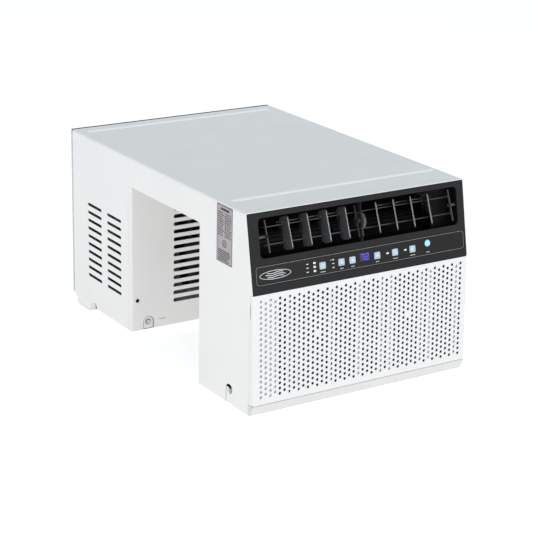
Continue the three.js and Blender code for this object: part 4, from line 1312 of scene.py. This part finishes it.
for name, ends in FRAME_ENDS.items():
    shapes = []
    for x, (front, back) in zip(ends, UPRIGHTS):
        shapes.append(
            plate(
                [upright_outline(front, back)], levels(x - 0.8 * MM, x + 0.8 * MM, 0.35 * MM), tilt_side
            ),
        )
        pivot_arm = box_outline((min(front, -2 * MM), max(back, 2 * MM)), (-3 * MM, 3 * MM), 1.5 * MM)
        shapes.append(plate([pivot_arm], levels(x - 0.8 * MM, x + 0.8 * MM, 0.35 * MM), tilt_side))
    for z in BARS:
        bar = box_outline(
            (AXIS_DEPTH - 1.5 * MM, AXIS_DEPTH + 1.5 * MM), (z - 1 * MM, z + 1 * MM), 0.7 * MM
        )
        shapes.append(plate([bar], levels(*sorted(ends), 0.2 * MM), tilt_side))
    pins = span(f"louver_frame_{name}", 0)
    for x, pin in zip(sorted(ends), pins):
        shapes.append(
            plate([disc_outline(0, 0, 3 * MM, 20)], levels(*sorted((x, pin)), 0.3 * MM), tilt_side)
        )
    make(
        f"louvre_frame_{name}_moulding",
        vane_charcoal,
        f"louver_{name}",
        shapes,
        [f"louver_frame_{name}"],
    )

# %% Vanes and their link bars
VANE = 1.8 * MM
for name in FRAME_ENDS:
    first = joints[f"vane_swing_{name}_1"]
    pin = Vector(joints[f"link_pin_{name}"]["pos_m"])
    arm = plane(TILT_ORIGIN, TILT_IN, TILT_UP).inverted() @ pin
    swing = math.atan2(first["pos_m"][0] - pin.x, arm.x - AXIS_DEPTH)
    for number in range(1, 5):
        x = joints[f"vane_swing_{name}_{number}"]["pos_m"][0]
        axis = TILT_ORIGIN + Vector((x, 0, 0)) + TILT_IN * AXIS_DEPTH
        turn = Matrix.Rotation(swing, 3, TILT_UP)
        place = plane(axis, turn @ TILT_IN, TILT_UP)
        loops = [blade_outline()]
        for z in BARS:
            loops.append(box_outline((-3.4 * MM, 9 * MM), (z - 1.6 * MM, z + 1.6 * MM), 1.2 * MM))
        shapes = [plate(loops, levels(-VANE / 2, VANE / 2, 0.4 * MM, 3), place)]
        for z in BARS:
            post = Matrix.Translation(
                axis + TILT_UP * (z + 1.6 * MM)
            ) @ TILT_UP.to_track_quat("Z", "Y").to_matrix().to_4x4()
            shapes.append(
                turned(
                    [
                        (0, 0),
                        (2 * MM, 0),
                        (2.2 * MM, 0.3 * MM),
                        (2.2 * MM, 2.4 * MM),
                        (1.6 * MM, 3 * MM),
                        (0, 3 * MM),
                    ],
                    post,
                    16,
                ),
            )
        make(
            f"vane_{name}_{number}_moulding",
            vane_charcoal,
            f"vane_{name}_{number}",
            shapes,
            [f"vane_{name}_{number}"],
        )
        # A light grey strip on each vane's front edge is a painted highlight.
        front = BLADE[0] - AXIS_DEPTH
        painted_highlight_strip = box_outline((front, front + 0.8 * MM), (3 * MM - BLADE[2], BLADE[2] - 3 * MM), 0.3 * MM)
        painted_highlight_plate = plate([painted_highlight_strip], levels(-VANE / 2, VANE / 2, 0.2 * MM), place)
        make(f"vane_{name}_{number}_lip", vane_edge_highlight, f"vane_{name}_{number}", [painted_highlight_plate])
    low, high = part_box(f"link_bar_{name}")
    link_place = plane(pin - ACROSS * pin.x, ACROSS, TILT_UP)
    link_v = (20.5 * MM, 23 * MM)
    pin_v = (pin - TILT_ORIGIN).dot(TILT_UP)
    link_loop = box_outline((low.x, high.x), (link_v[0] - pin_v, link_v[1] - pin_v), 0.8 * MM)
    make(
        f"link_{name}_bar",
        vane_charcoal,
        f"link_{name}",
        [plate([link_loop], levels(-0.8 * MM, 0.8 * MM, 0.25 * MM), link_place)],
        [f"link_bar_{name}"],
    )

# %% [markdown]
# ## Rating label
# A printed sticker on the left side: a heading bar, rows of small print and a round test mark. The
# words don't matter at this size, so rows of short dashes stand for them, drawn at random from a
# fixed seed so that the label is the same each time.

# %% Label
label_place = plane((-HALF, 0, 0), (0, -1, 0), (0, 0, 1))
stock = plate(
    [box_outline(label_u, label_v, 1.5 * MM)], levels(-0.5 * MM, -0.05 * MM, 0.08 * MM), label_place
)
make("rating_sticker", label_stock, "case", [stock], ["rating_label"])
random.seed(7)
ink_levels = [(0, -0.09 * MM), (0, 0.0)]
ink = []


def label_bar(u0, u1, v, height):
    loop = box_outline(
        (label_u[0] + u0, label_u[0] + u1), (v - height / 2, v + height / 2), height * 0.2, 1
    )
    ink.append(plate([loop], ink_levels, label_place))


label_bar(13 * MM, 42 * MM, label_v[1] - 8 * MM, 4.2 * MM)
for row in range(11):
    v = label_v[1] - 15 * MM - row * 4.2 * MM
    for start, stop in ((4 * MM, 23 * MM), (27 * MM, 49 * MM)):
        u = start
        while u < stop - 3 * MM:
            width = random.uniform(2.2, 7) * MM
            label_bar(u, min(u + width, stop), v, 2.2 * MM)
            u += width + random.uniform(1, 2.4) * MM
mark_v = label_v[1] - 71 * MM
mark = [disc_outline(label_u[0] + 27 * MM, mark_v, radius, 28) for radius in (7 * MM, 5.2 * MM)]
ink.append(plate(mark, ink_levels, label_place))
label_bar(24 * MM, 30 * MM, mark_v + 1.6 * MM, 1.6 * MM)
label_bar(23 * MM, 31 * MM, mark_v - 1.6 * MM, 1.6 * MM)
for row in range(6):
    v = label_v[0] + 4.5 * MM + row * 3.6 * MM
    label_bar(5 * MM, random.uniform(38, 48) * MM, v, 1.9 * MM)
edge_line = inset(box_outline(label_u, label_v, 1.5 * MM), 0.6 * MM)
ink.append(plate([edge_line, inset(edge_line, 1.1 * MM)], ink_levels, label_place))
make("rating_print", label_ink, "case", ink)

# %% [markdown]
# ## Case screws
# Six pan-head screws hold the sheets to the pans. Each head is a low dome with a cross recess, which
# is simply a cross-shaped hole through the dome with a floor a little way down. A dark ring under each
# head and a dark arch along each of the two notches on the sill side are painted shade.

# %% Screws
def cross_outline(reach, half):
    corner = [(reach, -half), (reach, half), (half, half), (half, reach)]
    loop = []
    for quarter in range(4):
        turn = Matrix.Rotation(quarter * math.pi / 2, 2)
        loop += [turn @ Vector(p) for p in corner]
    return tidy(loop)


painted_shade_pieces = []


def screw(place):
    head = [disc_outline(0, 0, 5 * MM, 32), cross_outline(2.6 * MM, 0.55 * MM)]
    dome = plate(head, levels(0.1 * MM, 1.3 * MM, 0.55 * MM, 4), place)
    floor = plate([disc_outline(0, 0, 4.2 * MM, 24)], levels(0, 0.4 * MM, 0.1 * MM), place)
    # The dark ring under each head is painted shade.
    shade_ring = [disc_outline(0, 0, radius, 32) for radius in (6.1 * MM, 3 * MM)]
    painted_shade_pieces.append(plate(shade_ring, levels(-0.6 * MM, 0.15 * MM, 0.2 * MM), place))
    shank = turned(
        [(0, -8 * MM), (1.2 * MM, -8 * MM), (2 * MM, -6.8 * MM), (2 * MM, 0.05 * MM), (0, 0.05 * MM)],
        place,
        16,
    )
    return [dome, floor, shank]


for word, side in (("left", -1), ("right", 1)):
    for kind in ("front", "rear"):
        low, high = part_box(f"screw_{kind}_{word}")
        centre = (low + high) / 2
        place = plane((side * (HALF - 1.4 * MM), centre.y, centre.z), (0, side, 0), (0, 0, 1))
        make(
            f"{kind}_screw_{word}",
            screw_zinc,
            "case",
            screw(place),
            [f"screw_{kind}_{word}"],
        )
    low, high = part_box(f"screw_sill_{word}")
    centre = (low + high) / 2
    place = plane((centre.x, gap_rear + 1.4 * MM, centre.z), ACROSS, (0, 0, 1))
    # A dark arch just inside the edge of each notch is painted shadow.
    shade_arches = []
    for radius in (WALL_NOTCH - 0.2 * MM, WALL_NOTCH - 1.1 * MM):
        foot = wall_bottom - centre.z + WALL_NOTCH - radius
        shade_arches.append(
            outline(
                [
                    (-radius, foot, 0),
                    (radius, foot, 0),
                    (radius, radius, radius * 0.999),
                    (-radius, radius, radius * 0.999),
                ],
                8,
            )
        )
    painted_shade_pieces.append(plate(shade_arches, levels(-0.3 * MM, 0.4 * MM, 0.2 * MM), place))
    make(f"sill_screw_{word}", screw_zinc, "case", screw(place), [f"screw_sill_{word}"])
# These dark rings and arches are painted shade.
make("screw_painted_shade", foam, "case", painted_shade_pieces)

# %% [markdown]
# ## Rear grille
# The outdoor end is a shallow tray with rows of wide openings in front of the condenser. The face is
# a plate with thirty openings, and a rim runs round it. Thin level wires behind the openings keep
# fingers off the fins.

# %% Grille
grille_low, grille_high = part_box("rear_grille")
grille_place = plane((0, grille_high.y, 0), (-1, 0, 0), (0, 0, 1))
grille_loop = box_outline((-grille_high.x, grille_high.x), (grille_low.z, grille_high.z), 4 * MM, 5)
openings = []
for row in range(10):
    for middle in (-142 * MM, 0, 142 * MM):
        low_v = 44 * MM + row * 31 * MM
        openings.append(
            box_outline((middle - 64 * MM, middle + 64 * MM), (low_v, low_v + 18 * MM), 5 * MM, 4)
        )
grille_face = plate([grille_loop, *openings], levels(-2.5 * MM, 0, 0.8 * MM, 3), grille_place)
rim_heights = levels(grille_low.y - grille_high.y, -1.2 * MM, 0.4 * MM)
grille_rim = plate(
    [inset(grille_loop, 0.1 * MM), inset(grille_loop, 2.1 * MM)], rim_heights, grille_place
)
wires = []
for row in range(10):
    v = 53 * MM + row * 31 * MM
    for middle in (-142 * MM, 0, 142 * MM):
        ends = [grille_place @ Vector((middle + reach, v, -3.5 * MM)) for reach in (-66 * MM, 66 * MM)]
        wires.append(tube(ends, 0.9 * MM, 8))
make(
    "rear_grille_moulding",
    galvanised,
    "case",
    [grille_face, grille_rim, *wires],
    ["rear_grille"],
)
seal = (
    (-grille_high.x, grille_high.x),
    (lid_rear + 0.4 * MM, grille_high.y),
    (grille_high.z - 0.5 * MM, TOP - 0.3 * MM),
)
make("rear_seal", foam, "case", [block(*seal, 0.6 * MM)])

# %% [markdown]
# ## Coils
# A coil is a stack of thin aluminium fins threaded on copper tubes, with return bends at both ends.
# From outside the fins are what is seen, so they are real sheets a couple of millimetres apart.

# %% Fins and tubes
FIN_PITCH = 2.2 * MM
FIN = 0.3 * MM


def coil_shapes(node, rows, depth_rows=2):
    low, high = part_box(node)
    body = (-212 * MM, 212 * MM)
    pitch = (high.z - low.z) / rows
    fins, tubes = [], []
    count = int((body[1] - body[0]) / FIN_PITCH)
    fin_section = box_outline((low.y, high.y), (low.z, high.z), 1 * MM, 1)
    for i in range(count + 1):
        x = body[0] + i * FIN_PITCH
        fins.append(plate([fin_section], [(0, x), (0, x + FIN)], strip_place))
    for column in range(depth_rows):
        y = low.y + (high.y - low.y) * (column + 0.5) / depth_rows
        for row in range(rows):
            z = low.z + (row + 0.5) * pitch
            tubes.append(tube([(body[0] - 1 * MM, y, z), (body[1] + 1 * MM, y, z)], 3.2 * MM, 10))
        for end, first in ((-1, 0), (1, 1)):
            x = end * body[1]
            for row in range(first, rows - 1, 2):
                z = low.z + (row + 0.5) * pitch
                middle = z + pitch / 2
                arc = [math.pi * i / 8 - math.pi / 2 for i in range(9)]
                bend = [
                    (x + end * (1.5 * MM + 8.5 * MM * math.cos(a)), y, middle + pitch / 2 * math.sin(a))
                    for a in arc
                ]
                tubes.append(
                    tube([(x - end * MM, y, z), *bend, (x - end * MM, y, z + pitch)], 3.2 * MM, 10)
                )
    return fins, tubes


for node, rows in (("evaporator_coil", 10), ("condenser_coil", 11)):
    fins, tubes = coil_shapes(node, rows)
    make(f"{node}_fins", fin_metal, "case", fins, [node])
    make(f"{node}_tubes", copper, "case", tubes)

# %% [markdown]
# ## Blower and fan
# The room side has a drum wheel of curved blades, and the outdoor side a five-bladed fan. Blades are
# curved sheets: for each one a small formula gives a point for how far along and how far out it is.

# %% Drum wheel
wheel_low, wheel_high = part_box("blower_wheel")
wheel_axis = Vector(joints["blower_spin"]["pos_m"])
wheel_radius = 52 * MM
wheel_ends = (wheel_low.x + 6 * MM, wheel_high.x - 12 * MM)
wheel_place = plane((0, wheel_axis.y, wheel_axis.z), (0, 1, 0), (0, 0, 1))
wheel = []
for start in (wheel_ends[0], sum(wheel_ends) / 2 - 1 * MM, wheel_ends[1] - 2 * MM):
    loops = [disc_outline(0, 0, wheel_radius, 48), disc_outline(0, 0, wheel_radius - 12 * MM, 48)]
    wheel.append(plate(loops, levels(start, start + 2 * MM, 0.4 * MM), wheel_place))
for start in (wheel_ends[0], wheel_ends[1] - 3 * MM):
    wheel.append(
        plate(
            [disc_outline(0, 0, wheel_radius - 11.5 * MM, 40)],
            levels(start, start + 1.6 * MM, 0.3 * MM),
            wheel_place,
        ),
    )
BLADES = 34
for i in range(BLADES):
    turn = 2 * math.pi * i / BLADES

    def blade(u, v, turn=turn):
        out = wheel_radius - 1 * MM - v
        lag = turn + 0.28 * (v / (10 * MM)) ** 1.6
        return wheel_place @ Vector((out * math.cos(lag), out * math.sin(lag), u))

    wheel.append(
        shell(
            [wheel_ends[0] + 1 * MM, wheel_ends[1] - 1 * MM],
            [i * 2.5 * MM for i in range(5)],
            blade,
            0.9 * MM,
        ),
    )
shaft_ends = [Vector((x, wheel_axis.y, wheel_axis.z)) for x in (wheel_low.x, wheel_high.x)]
wheel.append(tube(shaft_ends, 4 * MM, 16))
make("drum_wheel", black_moulding, "blower", wheel, ["blower_wheel"])

# %% Outdoor fan
fan_low, fan_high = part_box("condenser_fan")
fan_axis = Vector(joints["fan_spin"]["pos_m"])
fan_radius = (fan_high.x - fan_low.x) / 2 - 1 * MM
fan_place = plane((fan_axis.x, (fan_low.y + fan_high.y) / 2, fan_axis.z), (1, 0, 0), (0, 0, 1))
HUB_RADIUS = 30 * MM
fan_shapes = []
hub_half = 10 * MM
hub_profile = [
    (5 * MM, -hub_half),
    (HUB_RADIUS - 2 * MM, -hub_half),
    (HUB_RADIUS, -hub_half + 2 * MM),
    (HUB_RADIUS, hub_half - 4 * MM),
    (HUB_RADIUS - 4 * MM, hub_half),
    (5 * MM, hub_half),
    (5 * MM, -hub_half),
]
fan_shapes.append(turned(hub_profile, fan_place, 40))
for i in range(5):
    turn = 2 * math.pi * i / 5

    def fan_blade(u, v, turn=turn):
        share = u / (fan_radius - HUB_RADIUS)
        width = 0.46 - 0.06 * share
        sweep = turn + 0.30 * share**1.4 + v * width
        twist = 0.42 - 0.14 * share
        radius = HUB_RADIUS - 2 * MM + u
        camber = 2.5 * MM * (1 - v * v)
        return fan_place @ Vector(
            (
                radius * math.cos(sweep),
                radius * math.sin(sweep),
                -v * width * radius * twist * 0.42 + camber - 1 * MM,
            ),
        )

    us = [(fan_radius - HUB_RADIUS + 2 * MM) * j / 8 for j in range(9)]
    fan_shapes.append(shell(us, [-1 + j / 4 for j in range(9)], fan_blade, 1.8 * MM))
make("outdoor_fan", black_moulding, "fan_rotor", fan_shapes, ["condenser_fan"])

# %% [markdown]
# ## Compressor and its bottles
# The compressor is a drawn steel can: a cup with a lid, welded round the middle, standing on feet.
# The accumulator beside it is a smaller bottle. Both are turned from a profile with soft shoulders.

# %% Compressor
can_low, can_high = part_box("compressor")
can_place = Matrix.Translation(((can_low.x + can_high.x) / 2, (can_low.y + can_high.y) / 2, 0))
can_radius = 58 * MM
foot_z = can_low.z
shell_profile = [
    (0, foot_z + 8 * MM),
    (can_radius - 14 * MM, foot_z + 8 * MM),
    (can_radius - 3 * MM, foot_z + 13 * MM),
    (can_radius, foot_z + 22 * MM),
]
shell_profile += [
    (can_radius, 140 * MM),
    (can_radius - 1 * MM, 141 * MM),
    (can_radius - 1 * MM, 145 * MM),
    (can_radius, 146 * MM),
]
arc = [math.pi / 2 * i / 6 for i in range(7)]
shell_profile += [
    (can_radius - 16 * MM * (1 - math.cos(a)), 186 * MM + 20 * MM * math.sin(a)) for a in arc
]
shell_profile += [(30 * MM, 213 * MM), (14 * MM, 217 * MM), (0, 218 * MM)]
base_loop = box_outline(
    (-can_radius - 4 * MM, can_radius + 4 * MM), (-can_radius - 4 * MM, can_radius + 4 * MM), 30 * MM, 8
)
can = [
    turned(shell_profile, can_place, 48),
    plate([base_loop], levels(foot_z + 6 * MM, foot_z + 9 * MM, 1 * MM), can_place),
]
for sx in (-1, 1):
    for sy in (-1, 1):
        foot = can_place @ Matrix.Translation((sx * 42 * MM, sy * 42 * MM, 0))
        can.append(
            turned(
                [
                    (0, foot_z),
                    (9 * MM, foot_z),
                    (9 * MM, foot_z + 3 * MM),
                    (7 * MM, foot_z + 4 * MM),
                    (9 * MM, foot_z + 5 * MM),
                    (7 * MM, foot_z + 11 * MM),
                    (0, foot_z + 12 * MM),
                ],
                foot,
                20,
            ),
        )
make("compressor_can", black_enamel, "case", can, ["compressor"])

# %% Accumulator
low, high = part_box("accumulator")
bottle_place = Matrix.Translation(((low.x + high.x) / 2, (low.y + high.y) / 2, 0))
neck, body_r = 6 * MM, 20.6 * MM
bottle = [(0, low.z), (neck, low.z), (neck, low.z + 6 * MM)]
bottle += [
    (neck + (body_r - neck) * math.sin(a), low.z + 6 * MM + 12 * MM * (1 - math.cos(a))) for a in arc
]
bottle += [(neck + (body_r - neck) * math.cos(a), high.z - 18 * MM + 12 * MM * math.sin(a)) for a in arc]
bottle += [(neck, high.z), (0, high.z)]
make(
    "accumulator_bottle",
    black_enamel,
    "case",
    [turned(bottle, bottle_place, 32)],
    ["accumulator"],
)

# %% Capacitor
low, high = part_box("capacitor")
cap_place = Matrix.Translation(((low.x + high.x) / 2, (low.y + high.y) / 2, 0))
cap_r = (high.x - low.x) / 2
cap = [
    (0, low.z),
    (cap_r - 1.5 * MM, low.z),
    (cap_r, low.z + 1.5 * MM),
    (cap_r, high.z - 10 * MM),
    (cap_r - 0.8 * MM, high.z - 9 * MM),
    (cap_r - 0.8 * MM, high.z - 7 * MM),
]
cap += [(cap_r, high.z - 6 * MM), (cap_r - 1.5 * MM, high.z - 4 * MM), (0, high.z - 4 * MM)]
cap_shapes = [turned(cap, cap_place, 32)]
for offset in (-6 * MM, 6 * MM):
    tab = ((offset - 2.5 * MM, offset + 2.5 * MM), (-0.5 * MM, 0.5 * MM), (high.z - 5 * MM, high.z))
    cap_shapes.append(block(*tab, 0.2 * MM, cap_place))
make("capacitor_sleeve", can_sleeve, "case", cap_shapes, ["capacitor"])

# %% [markdown]
# ## Parts kept from the frame
# The pans, the duct, the scroll, the motors and the pipes have the right shape already, so they keep
# their own meshes and get a finish. The pipes are also subdivided once. Their faces are not joined
# to one another, so each is rounded on its own and small gaps open at its corners; joining them
# first would close the pipes.

# %% Finishes for the kept parts
KEPT = {
    "outlet_duct": black_moulding,
    "blower_scroll": black_moulding,
    "blower_motor": black_enamel,
    "front_base_pan": painted,
    "rear_base_pan": painted,
    "fan_shroud": galvanised,
    "fan_motor": galvanised,
    "motor_bracket": galvanised,
    "control_box": galvanised,
    "control_board": board_green,
    "suction_pipe": foam,
    "liquid_pipe": copper,
    "discharge_pipe": copper,
}
for node, finish in KEPT.items():
    kept = frame["nodes"][node]
    kept.data.materials.clear()
    kept.data.materials.append(finish)
    if node.endswith("pipe"):
        rounder = kept.modifiers.new("rounder", "SUBSURF")
        rounder.levels = rounder.render_levels = 1
print(len(KEPT), "parts kept")

# %% [markdown]
# ## Studio
# A pale floor that runs out of sight, a sky that is white at the horizon and bluish grey above, which
# the lid mirrors, and three soft lamps: from the front, from the left and from above. The floor also
# glows a little, which fills the shadows under the unit. The camera stands where the left side, the
# front and the lid all show, with a long lens so that the edges stay nearly parallel.

# %% Floor and light
floor_finish, tree, shader, where, tint = base_finish(
    "floor_finish", (0.93, 0.93, 0.93), 0.7, 8 * MM, 0.02 * MM, 0.004
)
shader.inputs["Emission Color"].default_value = (1, 1, 1, 1)
shader.inputs["Emission Strength"].default_value = 0.42
floor_mesh = bpy.data.meshes.new("floor")
reach = 30.0
floor_mesh.from_pydata(
    [(-reach, -reach, 0), (reach, -reach, 0), (reach, reach, 0), (-reach, reach, 0)], [], [(0, 1, 2, 3)]
)
floor_mesh.materials.append(floor_finish)
floor = bpy.data.objects.new("floor", floor_mesh)
bpy.context.scene.collection.objects.link(floor)
HORIZON = (0.95, 0.95, 0.95)
ZENITH = (0.52, 0.58, 0.62)
world = bpy.data.worlds.new("sky")
bpy.context.scene.world = world
world.use_nodes = True
sky = world.node_tree
height = add(sky, "ShaderNodeSeparateXYZ")
sky.links.new(add(sky, "ShaderNodeTexCoord").outputs["Generated"], height.inputs[0])
rise = remap(sky, height.outputs["Z"], 0, 1, 0.05, 0.6)
sky.links.new(blend_colours(sky, rise, HORIZON, ZENITH), sky.nodes["Background"].inputs["Color"])
sky.nodes["Background"].inputs["Strength"].default_value = 1.0


def soft_lamp(name, place, target, size, power):
    light = bpy.data.lights.new(name, "AREA")
    light.shape = "RECTANGLE"
    light.size, light.size_y = size
    light.energy = power
    light.color = (1, 0.955, 0.93)
    lamp = bpy.data.objects.new(name, light)
    lamp.location = place
    lamp.rotation_mode = "QUATERNION"
    lamp.rotation_quaternion = (Vector(target) - Vector(place)).to_track_quat("-Z", "Y")
    bpy.context.scene.collection.objects.link(lamp)


middle = (cad_low + cad_high) / 2
soft_lamp("front_lamp", (0.6, -3.0, 0.9), middle, (2.4, 1.4), 17)
soft_lamp("left_lamp", (-2.8, -1.5, 0.8), middle, (2.4, 1.4), 14)
soft_lamp("roof_lamp", (0.3, 0.8, 3.0), middle, (2.0, 2.0), 10)

print("lamps in the studio:", len(bpy.data.lights))

# %% Camera
AZIMUTH = math.radians(32.77)
DOWN = math.radians(18.59)
ROLL = math.radians(1.28)
DISTANCE = 3.3826
AIM = middle + Vector((3.0, -18.1, -40.3)) * MM
ahead = Vector((math.sin(AZIMUTH) * math.cos(DOWN), math.cos(AZIMUTH) * math.cos(DOWN), -math.sin(DOWN)))
right = ahead.cross(Vector((0, 0, 1))).normalized()
above = right.cross(ahead)
tilted_right = right * math.cos(ROLL) + above * math.sin(ROLL)
tilted_up = above * math.cos(ROLL) - right * math.sin(ROLL)
camera_data = bpy.data.cameras.new("camera")
camera_data.lens = 114.5
camera_data.sensor_width = 36
camera = bpy.data.objects.new("camera", camera_data)
camera.matrix_world = Matrix.Translation(AIM - ahead * DISTANCE) @ Matrix(
    (tilted_right, tilted_up, -ahead)
).transposed().to_4x4()
bpy.context.scene.collection.objects.link(camera)
bpy.context.scene.camera = camera
bpy.context.scene.view_settings.view_transform = "Standard"
print("the camera stands", round(DISTANCE, 2), "m from the point it looks at")
